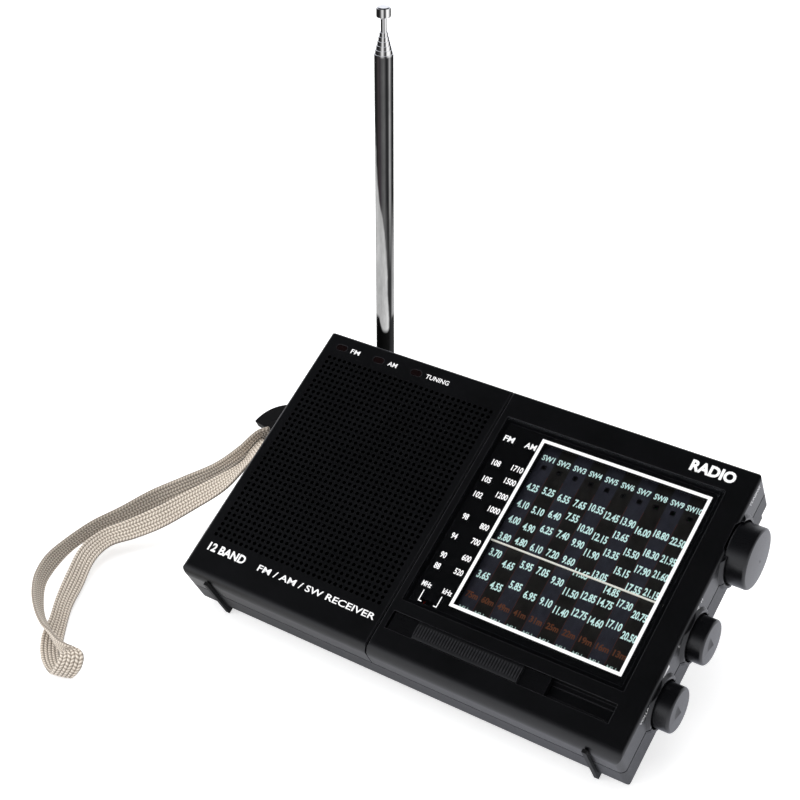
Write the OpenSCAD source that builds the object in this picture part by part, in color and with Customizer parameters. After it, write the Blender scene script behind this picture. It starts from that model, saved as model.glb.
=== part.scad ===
// Portable twelve-band shortwave receiver, propped on its fold-out stand with the rod antenna
// upright. The radio is drawn in its own frame: X along its width, Y up its front face, Z out of
// the front face, Z = 0 on the flat of its back. place() then leans it back on the table.
// Origin of the finished part: middle of the flat bottom wall, datum_z in front of the back.
// +Z is up. Left is -X. Cutting shapes overrun the walls they cut.

/* [Case] */
// Width of the case
body_w = 162; // [156:0.5:168]
// Height of the case
body_h = 100.6; // [98:0.2:106]
// Depth of the side walls
body_d = 20.5; // [20.5:0.1:22]
// Depth of the raised battery hump on the back
hump_d = 8; // [8:0.5:10]
// Lean of the front face from the table
lean = 29.38; // [25:0.5:34]

/* [Grille] */
// Diameter of one grille hole
hole_d = 1.16; // [0.8:0.02:1.4]
// Spacing of the holes across
hole_px = 2.12; // [2.1:0.01:2.14]
// Spacing of the holes up the face
hole_py = 2.08; // [2.06:0.01:2.1]

/* [Knobs] */
// Radius of the tuning knob
tune_r = 10; // [9:0.1:10.2]
// Radius of the tone and volume knobs
small_r = 7.25; // [6:0.05:7.5]

/* [Antenna] */
// Height of the collapsed antenna above its pivot
rod_len = 136; // [130:1:140]

/* [Stand] */
// Length of the stand from its hinge to its foot
stand_len = 38.5; // [37.5:0.1:39]

/* [Hidden] */
// case
half_w = body_w / 2;
half_h = body_h / 2;
front_z = body_d;            // front face
inner_z = front_z - 2.1;     // inside of the front wall
part_rear = 10.4;            // rear shell ends here
part_front = 10.95;          // front covers start here
seam_left = -7.45;           // right edge of the speaker cover
seam_right = -7.05;          // left edge of the dial cover
datum_z = 5;
table_z = -6.25;
case_screw_at = [[-76, 38.5], [75.6, 40], [-75.5, -45.6], [75.6, -45.6]];
left_screws = [case_screw_at[0], case_screw_at[2]];
right_screws = [case_screw_at[1], case_screw_at[3]];
thread_r = 1.2;
foot_xs = [-70, 70];

// knobs
axis_z = 10.7;               // depth of the knob shafts
shaft_r = 1.5;
tune_y = 27.2;
tone_y = -3.2;
vol_y = -26.3;
knobs = [[tune_y, tune_r], [tone_y, small_r], [vol_y, small_r]];  // y, radius

// stand
stand_y = half_h - 19.6;     // hinge of the stand
stand_z = 2 - hump_d;
stand_pin_r = 1.0;
stand_foot_r = 1.1;
stand_drop = 0.8;            // foot centre below the hinge line when folded
hinge_h = (stand_y + half_h) * sin(lean) + (stand_z - datum_z) * cos(lean) - table_z;
stand_reach = sqrt(stand_len * stand_len + stand_drop * stand_drop);
open_angle = 180 - lean - atan(stand_drop / stand_len)
           - asin((hinge_h - stand_foot_r) / stand_reach);

// parts that several pieces fit round
ant_x = -64.5;               // antenna hinge
ant_y = 48.5;
ant_floor_y = 44.9;          // floor of the antenna pocket
strap_pin_at = [-78.4, 20.9];
strap_pin_r = 0.9;
headphone_y = -22;
dc_y = -37;
jack_z = 5.6;
board_back_z = 5;
board_front_z = 6.6;
board_posts = [[1, 32.4], [69, 32.4], [1, -44], [69, -42]];
ferrite_y = 39.4;
ferrite_z = 7.2;
ferrite_r = 3.4;
lamp_xs = [-74, -58.5, -43];
lamp_y = 45.3;

// colours
case_black = [0.07, 0.07, 0.075];
knob_black = [0.06, 0.06, 0.065];
shaft_steel = [0.78, 0.78, 0.8];
screw_steel = [0.72, 0.72, 0.74];
pin_steel = [0.75, 0.75, 0.77];
plain_metal = [0.7, 0.7, 0.72];
pot_grey = [0.6, 0.6, 0.62];
board_green = [0.1, 0.3, 0.15];
lamp_red = [0.3, 0.04, 0.03];
chrome = [0.86, 0.86, 0.88];

module place() rotate([lean, 0, 0]) translate([0, half_h, -datum_z]) children();

// ---- shapes that repeat ----
module rounded_rect(width, height, r) {
    square([width - 2 * r, height], center = true);
    square([width, height - 2 * r], center = true);
    for (i = [-1, 1], j = [-1, 1])
        translate([i * (width / 2 - r), j * (height / 2 - r)]) circle(r = r, $fn = 48);
}
module block(x0, x1, y0, y1, z0, z1) translate([x0, y0, z0]) cube([x1 - x0, y1 - y0, z1 - z0]);
// cylinders along one axis, given their two ends, the other two coordinates and the radius
module along_x(x0, x1, y, z, r)
    translate([x0, y, z]) rotate([0, 90, 0]) cylinder(r = r, h = x1 - x0, $fn = 64);
module along_y(y0, y1, x, z, r)
    translate([x, y0, z]) rotate([-90, 0, 0]) cylinder(r = r, h = y1 - y0, $fn = 64);
module along_z(z0, z1, x, y, r)
    translate([x, y, z0]) cylinder(r = r, h = z1 - z0, $fn = 64);
module ring_x(x0, x1, y, z, outer_r, inner_r) difference() {
    along_x(x0, x1, y, z, outer_r);
    along_x(x0 - 1, x1 + 1, y, z, inner_r);
}
// profile with a flat foot and two rounded shoulders, width along X, height along Y
module shouldered(x0, x1, top, low_r, high_r) {
    translate([x0, 0]) square([x1 - x0, top - max(low_r, high_r)]);
    translate([x0 + low_r, 0]) square([x1 - x0 - low_r - high_r, top]);
    translate([x0, 0]) square([low_r, top - low_r]);
    translate([x1 - high_r, 0]) square([high_r, top - high_r]);
    translate([x0 + low_r, top - low_r]) circle(r = low_r, $fn = 48);
    translate([x1 - high_r, top - high_r]) circle(r = high_r, $fn = 48);
}
// slab standing on z = 0, its upper edges rounded: both X edges by side_r, low Y edge by low_r,
// high Y edge by high_r
module soft_slab(width, height, depth, corner_r, side_r, low_r, high_r) intersection() {
    linear_extrude(depth) rounded_rect(width, height, corner_r);
    translate([0, height, 0]) rotate([90, 0, 0]) linear_extrude(2 * height)
        shouldered(-width / 2, width / 2, depth, side_r, side_r);
    translate([-width, 0, 0]) rotate([90, 0, 90]) linear_extrude(2 * width)
        shouldered(-height / 2, height / 2, depth, low_r, high_r);
}

// ---- features shared by the covers ----
// low conical collars round the knobs on the right wall, cut off at z0 and z1
module collars(z0, z1) for (k = knobs) intersection() {
    difference() {
        translate([80, k[0], axis_z]) rotate([0, 90, 0])
            cylinder(r1 = k[1] + 3.2, r2 = k[1] + 1.4, h = 2, $fn = 96);
        along_x(78, 84, k[0], axis_z, k[1] + 0.7);
    }
    block(70, 90, -60, 60, z0, z1);
}
// shaft holes, and the dishes that the knobs sit in
module knob_cuts() for (k = knobs) {
    along_x(72, 83, k[0], axis_z, 2.6);
    along_x(80.1, 84, k[0], axis_z, k[1] + 0.7);
}
module front_outer(low_r) translate([0, 0, part_front])
    soft_slab(body_w, body_h, front_z - part_front, 2, 1.1, low_r, 1.1);
module front_bosses(screws) for (s = screws)
    along_z(part_front - 0.2, inner_z + 0.5, s[0], s[1], 3.1);
module front_screw_holes(screws) for (s = screws)
    along_z(part_front - 1, part_front + 5, s[0], s[1], thread_r);

// ---- rear shell ----
module hump() translate([0, 3, 1]) mirror([0, 0, 1])
    soft_slab(136, 68, hump_d + 1, 4, 2.5, 2.5, 2.5);
module rear_outer() {
    translate([0, 0, part_rear]) mirror([0, 0, 1])
        soft_slab(body_w, body_h, part_rear, 2, 2.2, 2.2, 2.2);
    hump();
}
// hollow of the case and hump, less the solid left round the stand, antenna and batteries
module rear_cavity() difference() {
    union() {
        translate([0, 0, 2]) linear_extrude(20) rounded_rect(body_w - 4, body_h - 4, 1.2);
        block(-66, 66, -29, 35, 1.8 - hump_d, 3);
    }
    block(-34.5, 34.5, -10.6, 36, -hump_d, -2.2);
    block(-82, 82, 43.0, 60, 0, 5.3);
    block(-76, -53, 34, 60, -1, 10.2);
    block(-59.4, 59.4, -30.4, -9, -9, 10.2);
}
// lip that seats inside the front covers
module rear_lip() difference() {
    translate([0, 0, 9]) linear_extrude(3.2) rounded_rect(body_w - 3.7, body_h - 3.7, 1.2);
    translate([0, 0, 8]) linear_extrude(6) rounded_rect(body_w - 5.6, body_h - 5.6, 0.8);
    for (k = knobs) along_x(76, 82, k[0], axis_z, 3);
    // gaps at the strap and the antenna
    block(-82, -76, 14, 27, 5, 13);
    block(-77, -52, 45, 60, 5, 13);
    // gaps for the covers' seam walls and screw bosses, and above the supply jack
    block(seam_left - 1.9, seam_right + 1.9, -60, 60, 5, 13);
    for (s = case_screw_at) along_z(part_front - 0.4, 13, s[0], s[1], 3.4);
    block(-82, -76, -42.3, -31.7, 5, 9.3);
}
module rear_cover() color(case_black) place() {
    difference() {
        union() {
            difference() {
                rear_outer();
                rear_cavity();
            }
            rear_lip();
            // antenna socket, screw bosses, board posts and ferrite rod holders
            block(-71.5, -57.5, 36.0, ant_floor_y, -5, 3);
            for (s = case_screw_at) along_z(1, 10.5, s[0], s[1], 2.9);
            for (p = board_posts)
                along_z(abs(p[0]) < 30 && p[1] > 0 ? -2.5 : 1.5, board_back_z, p[0], p[1], 2.2);
            for (x = [-37, 49]) block(x, x + 3, 36.2, 42.6, 1.5, 6.5);
            collars(2.6, part_rear);
            // ledge behind the strap pin
            block(-80.5, -76.2, 16.2, 25.6, 1, 3.6);
        }
        // shallow channels that seat the bar feet
        for (x = foot_xs)
            block(x - 0.8, x + 0.8, -half_h - 1, -half_h + 0.3, -5, part_rear + 1);
        // battery bay and its door opening
        block(-57.8, 57.8, -28.9, -10.5, -7, 8.9);
        block(-56.5, 56.5, -32, -10.5, -hump_d - 1, 1.9 - hump_d);
        block(-56.5, 56.5, -32, -28.8, -hump_d - 1, -1);
        // stand recess, hinge pocket and pin holes
        block(-31.3, 31.3, stand_y - 41, stand_y + 2.6, -hump_d - 1, 3.0 - hump_d);
        block(-31.3, 31.3, stand_y - 2.6, stand_y + 2.6, -hump_d - 1, 4.2 - hump_d);
        along_x(-34.3, 34.3, stand_y, stand_z, stand_pin_r);
        // antenna pocket, stowing rebate and swivel socket
        along_y(ant_floor_y, 60, ant_x, 0, 10.7);
        block(-90, 90, ant_floor_y, 60, -10, 3.5);
        along_y(30, 60, ant_x, 0, 2.55);
        along_y(30, 36.0, ant_x, 0, 3.9);
        knob_cuts();
        // case screws with their head recesses, then board screws
        for (s = case_screw_at) {
            along_z(-2, 12, s[0], s[1], 1.35);
            along_z(-2, 6.5, s[0], s[1], 2.3);
        }
        for (p = board_posts) along_z(2.5, 6, p[0], p[1], 0.9);
        along_x(-60, 60, ferrite_y, ferrite_z, ferrite_r);
        // sockets, strap slot and strap pin hole in the left wall
        along_x(-82, -78, headphone_y, jack_z, 3.0);
        along_x(-82, -78, dc_y, jack_z, 4.0);
        block(-82, -75, 17.2, 24.6, 6.0, 13);
        along_z(1.8, 11, strap_pin_at[0], strap_pin_at[1], strap_pin_r);
    }
}

// ---- speaker cover ----
grille_columns = 32;
grille_rows = 37;
grille_corner = [-77.7, -35.8];      // lower left corner of the perforated field
grille_size = [68.3, 77.7];
first_hole = [-76.36, -34.4];
grille_end = grille_corner + grille_size;

// rounded slot, made larger all round by grow
module lamp_shape(grow = 0) {
    square([2.0, 2.4 + 2 * grow], center = true);
    for (i = [-1, 1]) translate([i * 1.0, 0]) circle(r = 1.2 + grow, $fn = 48);
}
module speaker_cover() color([0.075, 0.08, 0.085]) place() difference() {
    union() {
        difference() {
            intersection() {
                front_outer(3.2);
                block(-90, seam_left, -60, 60, 0, 30);
            }
            difference() {
                block(-half_w + 1.8, seam_left - 1.5, -half_h + 1.8, half_h - 1.8, 0, inner_z);
                front_bosses(left_screws);
            }
            block(grille_corner[0], grille_end[0], grille_corner[1], grille_end[1],
                  inner_z - 1, front_z + 1);
        }
        // perforated field; the two left columns have coarser holes
        translate([0, 0, inner_z]) linear_extrude(front_z - inner_z) difference() {
            translate(grille_corner) square(grille_size);
            for (i = [0:grille_columns - 1], j = [0:grille_rows - 1])
                translate([first_hole[0] + i * hole_px, first_hole[1] + j * hole_py])
                    circle(d = hole_d, $fn = i < 2 ? 12 : 24);
        }
    }
    // indicator lamp slots
    for (x = lamp_xs) translate([x, lamp_y, inner_z - 1]) linear_extrude(4) lamp_shape();
    front_screw_holes(left_screws);
    // groove beside the seam
    block(seam_left - 0.35, seam_left + 1, -60, 60, front_z - 0.5, front_z + 1);
    // notches at the antenna and the strap
    along_y(half_h - 3, half_h + 3, ant_x, 0, 11.0);
    block(-82, -76, 17, 25, 8, part_front + 0.3);
}

// ---- dial cover ----
window_at = [34.15, 5.25, 19.4];     // middle of the window, on its rear face
scale_back_z = 16.5;
scale_front_z = 17.1;
rail_x = 76.6;                       // rail that the pointer slides on
rail_z = 17.2;
rail_r = 0.5;

module dial_cover() color([0.065, 0.067, 0.072]) place() difference() {
    union() {
        difference() {
            intersection() {
                front_outer(4.0);
                block(seam_right, 90, -60, 60, 0, 30);
            }
            difference() {
                block(seam_right + 1.5, half_w - 1.8, -half_h + 1.8, half_h - 1.8, 0, inner_z);
                front_bosses(right_screws);
                // posts for the scale plate and cradles for the pointer rail
                for (x = [1, 68], y = [43, -32.4]) along_z(scale_front_z, 19, x, y, 1.5);
                for (y = [-33.6, 36.6]) block(75.4, 80, y, y + 1.8, 15.9, 19);
                // tray of the band slider
                block(-5.4, 75.0, -42.4, -33.7, 16.5, 19);
            }
        }
        collars(part_front, front_z - 1.2);
    }
    // window rebate and opening
    translate(window_at) linear_extrude(3) rounded_rect(77.3, 71.5, 0.6);
    block(-2.9, 71.2, -28.9, 39.4, 15, 25);
    // hollow of the slider tray, its sunk floor and the slot through it
    block(-4.8, 73.0, -41.0, -34.7, 17.5, 25);
    block(1, 72.6, -39.6, -36.2, 16.9, 20);
    block(19.6, 47.4, -39.4, -36.4, 14, 20);
    knob_cuts();
    front_screw_holes(right_screws);
    along_y(-40, 40, rail_x, rail_z, rail_r);
    // groove beside the seam
    block(seam_right - 1, seam_right + 0.3, -60, 60, front_z - 0.5, front_z + 1);
}
module dial_window() color([0.8, 0.85, 0.9, 0.3]) place()
    translate(window_at) linear_extrude(0.8) rounded_rect(77.2, 71.4, 0.55);

// ---- scale and band selector ----
slider_x0 = -4;
slider_x1 = 51.3;
slider_y = -37.85;
slider_half = 2.95;                  // half its width across Y
slider_top_z = 21.35;
crown_r = 7;
flute_count = 38;
flute_x0 = 5.7;
flute_pitch = 0.973;

module scale_plate() color([0.1, 0.1, 0.11]) place() difference() {
    block(-3.2, 72.2, -33.4, 44.6, scale_back_z, scale_front_z);
    // row of ten holes at the top, pair of holes at the lower left
    for (i = [0:9]) along_z(16, 18, 14.27 + 5.7 * i, 29.35, 0.6);
    for (x = [0.97, 2.88]) along_z(16, 18, x, -27.45, 0.6);
}
module slider_stem(z0, z1) block(20, 26, slider_y - 1, slider_y + 1, z0, z1);
// strips behind the two groups of scale holes, joined by a strip that the slider stem carries
module band_indicator() color([0.03, 0.03, 0.03]) place() difference() {
    union() {
        block(-4.4, 51.5, 26.6, 32, 15.6, 16.2);
        block(19, 27, -40, 30, 15.6, 16.2);
        block(-4.4, 26, -30.5, -25, 15.6, 16.2);
    }
    slider_stem(15, 17);
}
module band_slider() color([0.09, 0.09, 0.095]) place() {
    difference() {
        union() {
            block(slider_x0, slider_x1, slider_y - slider_half, slider_y + slider_half,
                  17.6, 20.0);
            // raised grip, crowned across
            intersection() {
                block(slider_x0 + 9.2, slider_x1 - 9.0,
                      slider_y - slider_half, slider_y + slider_half, 19.5, 22);
                along_x(0, 50, slider_y, slider_top_z - crown_r, crown_r);
            }
        }
        // fluting between the ribs
        for (i = [0:flute_count - 1])
            along_y(slider_y - 4, slider_y + 4, flute_x0 + i * flute_pitch, slider_top_z, 0.36);
    }
    slider_stem(11.5, 18);
}
module band_switch() color([0.6, 0.6, 0.58]) place() difference() {
    block(14, 54, -42, -34.4, board_front_z, 13.3);
    block(18, 49, slider_y - 1.1, slider_y + 1.1, 10.9, 14);
}

// ---- pointer drive ----
cord_x = 74.2;                       // the cord's two straight runs
cord_r = 0.2;
cord_lo = 13.3;
cord_hi = 17.2;
cord_mid = (cord_lo + cord_hi) / 2;
guide_r = (cord_hi - cord_lo) / 2;
guide_hi_y = 33;
guide_lo_y = -29;
wrap_r = 12.25;                      // cord centre line round the drum
drum_x = cord_x - wrap_r;
drum_y = 14;

module dial_pointer() color([0.9, 0.87, 0.75]) place() difference() {
    union() {
        // needle and its carriage
        block(11, 74, -0.5, -0.05, 17.6, 18.25);
        block(73.0, 78.5, -4.25, 3.75, 16.0, 18.25);
    }
    along_y(-10, 10, rail_x, rail_z, rail_r + 0.06);
    along_y(-10, 10, cord_x, cord_hi, 0.45);
    block(cord_x - 0.45, cord_x + 0.45, -10, 10, 15, cord_hi);
}
module pointer_rail() color(pin_steel) place() along_y(-33.6, 38.4, rail_x, rail_z, rail_r);
module dial_cord() color([0.85, 0.82, 0.7]) place() {
    for (z = [cord_lo, cord_hi]) along_y(guide_lo_y, guide_hi_y, cord_x, z, cord_r);
    // half turns over the guides: y, turn about X
    for (end = [[guide_hi_y, 0], [guide_lo_y, 180]])
        translate([cord_x, end[0], cord_mid]) rotate([end[1], 0, 0])
            rotate([90, 0, 90]) rotate([0, 0, -90]) rotate_extrude(angle = 180, $fn = 64)
                translate([guide_r, 0]) circle(r = cord_r, $fn = 16);
    translate([drum_x, drum_y, cord_lo]) rotate_extrude($fn = 96)
        translate([wrap_r, 0]) circle(r = cord_r, $fn = 16);
}
// flanged rollers, each on a stub from the right wall
module cord_guides() color([0.85, 0.85, 0.8]) place() for (y = [guide_hi_y, guide_lo_y]) {
    along_x(73.5, 74.9, y, cord_mid, guide_r - 0.25);
    for (x = [73.2, 74.9]) along_x(x, x + 0.3, y, cord_mid, guide_r + 0.2);
    along_x(75.2, half_w - 1.8, y, cord_mid, 1.0);
}
module dial_drum() color([0.88, 0.88, 0.84]) place() {
    along_z(12.4, 12.95, drum_x, drum_y, 12.8);
    along_z(12.95, 13.65, drum_x, drum_y, 12.0);
    along_z(13.65, 14.2, drum_x, drum_y, 12.8);
    along_z(8.2, 12.4, drum_x, drum_y, 1.5);
}
module tuning_capacitor() color([0.85, 0.85, 0.83]) place() difference() {
    block(drum_x - 8, drum_x + 8, drum_y - 8, drum_y + 8, board_front_z, 12.0);
    along_z(8, 13, drum_x, drum_y, 1.56);
}
module tuning_bracket() color(plain_metal) place() difference() {
    union() for (x = [50, 70]) block(x, x + 2, 25.1, 30, board_front_z, 13.2);
    along_x(40, 80, tune_y, axis_z, shaft_r + 0.05);
}
// shaft with a flanged spool that touches the rear run of the cord
module tuning_shaft() color(shaft_steel) place() {
    along_x(48, 87, tune_y, axis_z, shaft_r);
    along_x(73.3, 75.1, tune_y, axis_z, cord_lo - 0.25 - axis_z);
    for (x = [72.9, 75.1]) along_x(x, x + 0.4, tune_y, axis_z, 2.5);
}

// ---- knobs and controls ----
knob_x0 = 80.6;
knob_rim_r = 0.9;
// smooth knob, axis along X: a slightly domed face running into a rounded rim, bored from behind
module knob(y, r, face_x) {
    height = face_x - knob_x0;
    dome_r = 6 * r;
    rim_x = r - knob_rim_r;
    rim_y = height - dome_r + sqrt(pow(dome_r - knob_rim_r, 2) - rim_x * rim_x);
    // from the dome centre through the rim centre to 1 mm outside the dome
    ray = [rim_x, rim_y - height + dome_r] * (dome_r + 1) / (dome_r - knob_rim_r);
    translate([knob_x0, y, axis_z]) rotate([0, 90, 0]) rotate_extrude($fn = 96) difference() {
        union() {
            intersection() {
                translate([0, height - dome_r]) circle(r = dome_r, $fn = 400);
                polygon([[0, 0], [rim_x, 0], [rim_x, rim_y],
                         [ray[0], ray[1] + height - dome_r], [0, height + 1]]);
            }
            translate([0, 0.4]) square([r, rim_y - 0.4]);
            translate([rim_x, rim_y]) circle(r = knob_rim_r, $fn = 48);
        }
        translate([-1, -1]) square([shaft_r + 1, height - 0.9]);
    }
}
module pot(y) place() difference() {
    union() {
        along_x(61, 69.5, y, axis_z, 4.0);
        along_x(69.5, 78, y, axis_z, 2.4);
    }
    along_x(63, 80, y, axis_z, shaft_r + 0.05);
}
module pot_shaft(y, end_x) place() along_x(63.5, end_x, y, axis_z, shaft_r);
module tuning_knob() color(knob_black) place() knob(tune_y, tune_r, face_x = 89.0);
module tone_knob() color(knob_black) place() knob(tone_y, small_r, face_x = 87.4);
module volume_knob() color(knob_black) place() knob(vol_y, small_r, face_x = 87.6);
module tone_pot() color(pot_grey) pot(tone_y);
module volume_pot() color(pot_grey) pot(vol_y);
module tone_shaft() color(shaft_steel) pot_shaft(tone_y, end_x = 85.4);
module volume_shaft() color(shaft_steel) pot_shaft(vol_y, end_x = 85.6);

// ---- boards ----
led_board_z = 13.9;                  // front of the lamp board
module circuit_board() color(board_green) place() difference() {
    union() {
        // board in three limbs
        block(-4.5, 72.4, -8.2, 35, board_back_z, board_front_z);
        block(61, 72.4, -46, -8, board_back_z, board_front_z);
        block(-4.5, 72.4, -46, -31.2, board_back_z, board_front_z);
        // mounted chip and coil cans
        block(8, 20, 6, 14, 6.5, 8.6);
        block(28, 36, 20, 28, 6.5, 12);
        block(40, 48, -2, 6, 6.5, 12);
        for (x = [6, 16, 26]) along_z(6.5, 12.5, x, 24, 2.6);
    }
    for (p = board_posts) along_z(4, 8, p[0], p[1], 1.1);
}
module board_screws() color(screw_steel) place() for (p = board_posts) {
    along_z(2.6, board_front_z, p[0], p[1], 0.9);
    along_z(board_front_z, 7.8, p[0], p[1], 1.9);
}
module led_board() color(board_green) place()
    block(-71, -39.5, 43, 48, led_board_z - 1, led_board_z);
// lens, flange and two legs
module lamp(x) place() {
    translate([x, lamp_y, 17.2]) linear_extrude(front_z - 17.4) lamp_shape();
    translate([x, lamp_y, 16.2]) linear_extrude(1.0) lamp_shape(grow = 0.3);
    for (i = [-1, 1])
        block(x + i * 0.9 - 0.2, x + i * 0.9 + 0.2, lamp_y - 0.2, lamp_y + 0.2,
              led_board_z, 16.2);
}
module fm_led() color(lamp_red) lamp(lamp_xs[0]);
module am_led() color(lamp_red) lamp(lamp_xs[1]);
module tuning_led() color(lamp_red) lamp(lamp_xs[2]);

// ---- loudspeaker ----
speaker_at = [-43.5, 8];
// half sections: radius, z
frame_profile = [[0, 8.2], [13, 8.2], [25.4, 16.4], [28.4, 16.4], [28.4, 17.4], [24.9, 17.4],
                 [12.6, 9.2], [0, 9.2]];
cone_profile = [[0, 11.6], [5, 10.6], [6, 10.2], [21.6, 16.6], [23.2, 17.4], [24.8, 17.4],
                [24.8, 17.8], [22.9, 17.8], [21.2, 17.0], [6.1, 10.7], [5.2, 11.1], [0, 12.2]];
module speaker_turned(profile)
    translate([speaker_at[0], speaker_at[1], 0]) rotate_extrude($fn = 96) polygon(profile);
module speaker_frame() color([0.5, 0.5, 0.52]) place() speaker_turned(frame_profile);
module speaker_cone() color([0.12, 0.12, 0.12]) place() speaker_turned(cone_profile);
module speaker_magnet() color([0.25, 0.25, 0.26]) place()
    along_z(3.2, 8.2, speaker_at[0], speaker_at[1], 13.5);
module speaker_gasket() color([0.05, 0.05, 0.05]) place() difference() {
    along_z(17.4, inner_z, speaker_at[0], speaker_at[1], 28.4);
    along_z(17, inner_z + 1, speaker_at[0], speaker_at[1], 25.2);
}
module ferrite_rod() color([0.2, 0.2, 0.2]) place()
    along_x(-40, 54, ferrite_y, ferrite_z, ferrite_r);
module ferrite_coil() color([0.7, 0.4, 0.15]) place()
    ring_x(12, 40, ferrite_y, ferrite_z, 4.0, ferrite_r);

// ---- power ----
bat_y = -19.7;
bat_z = 1.2;
module batteries() color(plain_metal) place() for (x = [-51.1, 0.6]) {
    along_x(x, x + 49.2, bat_y, bat_z, 7.1);
    along_x(x + 49.2, x + 50.3, bat_y, bat_z, 2.7);
}
module battery_contacts() color([0.8, 0.8, 0.78]) place() {
    for (x = [-57.8, 57.3]) block(x, x + 0.5, bat_y - 7, bat_y + 7, -5.5, 8);
    // stepped rings at the left end, stud at the right
    for (i = [0:3])
        ring_x(-57.3 + i * 1.55, -55.75 + i * 1.55, bat_y, bat_z, 5.2 - 0.5 * i, 4.2 - 0.5 * i);
    along_x(50.9, 57.3, bat_y, bat_z, 1.6);
}
module battery_door() color(case_black) place() difference() {
    intersection() {
        union() {
            block(-56.35, 56.35, -31, -10.65, -hump_d, 1.75 - hump_d);
            block(-56.35, 56.35, -31, -29.1, -hump_d, -1.15);
        }
        hump();
    }
    // six grip grooves
    for (i = [0:5]) block(-9, 9, -15.6 - i * 1.6, -14.9 - i * 1.6, -hump_d - 1, 0.35 - hump_d);
}

// ---- stand, feet, fasteners ----
module kickstand() color([0.08, 0.08, 0.085]) place()
    translate([0, stand_y, stand_z]) rotate([open_angle, 0, 0]) difference() {
        union() {
            along_x(-30.9, 30.9, 0, 0, 1.85);
            block(-30.5, 30.5, -stand_len, 0,
                  -stand_drop - stand_foot_r, -stand_drop + stand_foot_r);
            along_x(-30.5, 30.5, -stand_len, -stand_drop, stand_foot_r);
        }
        along_x(-40, 40, 0, 0, stand_pin_r + 0.06);
        block(-17, 17, -24, -8, -5, 5);
    }
module stand_pin() color(pin_steel) place() along_x(-34.3, 34.3, stand_y, stand_z, stand_pin_r);
// bars under the bottom wall that wrap round the rear edge, trimmed flat on the table
module rubber_feet() color([0.02, 0.02, 0.02]) intersection() {
    place() for (x = foot_xs) {
        block(x - 0.75, x + 0.75, -half_h - 1.2, -half_h, 1.2, 19.2);
        block(x - 0.75, x + 0.75, -half_h - 0.2, -half_h + 0.3, 2.4, part_rear);
        difference() {
            block(x - 0.75, x + 0.75, -half_h - 1.2, -half_h + 5, -1.6, 2.6);
            rear_outer();
        }
    }
    translate([-100, -100, table_z]) cube([200, 300, 300]);
}
module case_screws() color(screw_steel) place() for (s = case_screw_at) {
    // head with a cross recess, then the shank
    difference() {
        along_z(4.7, 6.4, s[0], s[1], 2.2);
        for (a = [0, 90])
            translate([s[0], s[1], 4]) rotate([0, 0, a]) cube([2.6, 0.6, 2.6], center = true);
    }
    along_z(6.3, part_front + 4.6, s[0], s[1], thread_r);
}

// ---- sockets ----
module jack_body(y, half_width, top_z, mouth_r) {
    block(-78.9, -66, y - half_width, y + half_width, 2.1, top_z);
    along_x(-81.0, -78.5, y, jack_z, mouth_r);
}
module headphone_jack() color([0.12, 0.12, 0.12]) place() difference() {
    jack_body(headphone_y, half_width = 4, top_z = 8.9, mouth_r = 2.95);
    along_x(-82, -67.5, headphone_y, jack_z, 1.8);
}
module dc_jack() color([0.1, 0.1, 0.1]) place() {
    difference() {
        jack_body(dc_y, half_width = 4.6, top_z = 9.1, mouth_r = 3.95);
        along_x(-82, -69, dc_y, jack_z, 2.75);
    }
    along_x(-79.6, -68, dc_y, jack_z, 0.65);
}

// ---- rod antenna ----
fork_r = 2.5;
ant_pin_r = 1.0;
module antenna_swivel() color(pin_steel) place() difference() {
    union() {
        along_y(36.4, ant_floor_y, ant_x, 0, fork_r);
        along_y(44.95, 45.9, ant_x, 0, 4.2);
        along_y(44.0, 45.0, ant_x, 0, fork_r);
        // two cheeks of the fork
        for (x = [ant_x - 3.35, ant_x + 3.35]) {
            block(x - 0.75, x + 0.75, 45.5, ant_y, -fork_r, fork_r);
            along_x(x - 0.75, x + 0.75, ant_y, 0, fork_r);
        }
    }
    along_x(ant_x - 10, ant_x + 10, ant_y, 0, ant_pin_r);
    along_y(30, 41, ant_x, 0, 1.0);
}
module antenna_screw() color(plain_metal) place() {
    along_y(34.6, 35.85, ant_x, 0, 3.5);
    along_y(35.5, 41, ant_x, 0, 1.0);
}
module antenna_pin() color([0.8, 0.8, 0.82]) place() {
    along_x(ant_x - 4.1, ant_x + 4.1, ant_y, 0, ant_pin_r);
    for (x = [-4.6, 4.1]) along_x(ant_x + x, ant_x + x + 0.5, ant_y, 0, 1.7);
}
// the antenna itself stands plumb, so it is drawn straight up from its pivot
ant_pivot = [ant_x,
             (ant_y + half_h) * cos(lean) + datum_z * sin(lean),
             (ant_y + half_h) * sin(lean) - datum_z * cos(lean)];
tip_h = 3.4;
bare_rod = 4.8;          // rod showing between the last section and the tip
ring_h = 1.4;            // height of each section's visible end
tube_top = rod_len - tip_h - bare_rod - 5 * ring_h;
tube_d = [6.2, 5.5, 4.8, 4.1, 3.4, 2.7, 1.9];    // six tubes, then the rod
tube_wall = 0.22;
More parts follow.
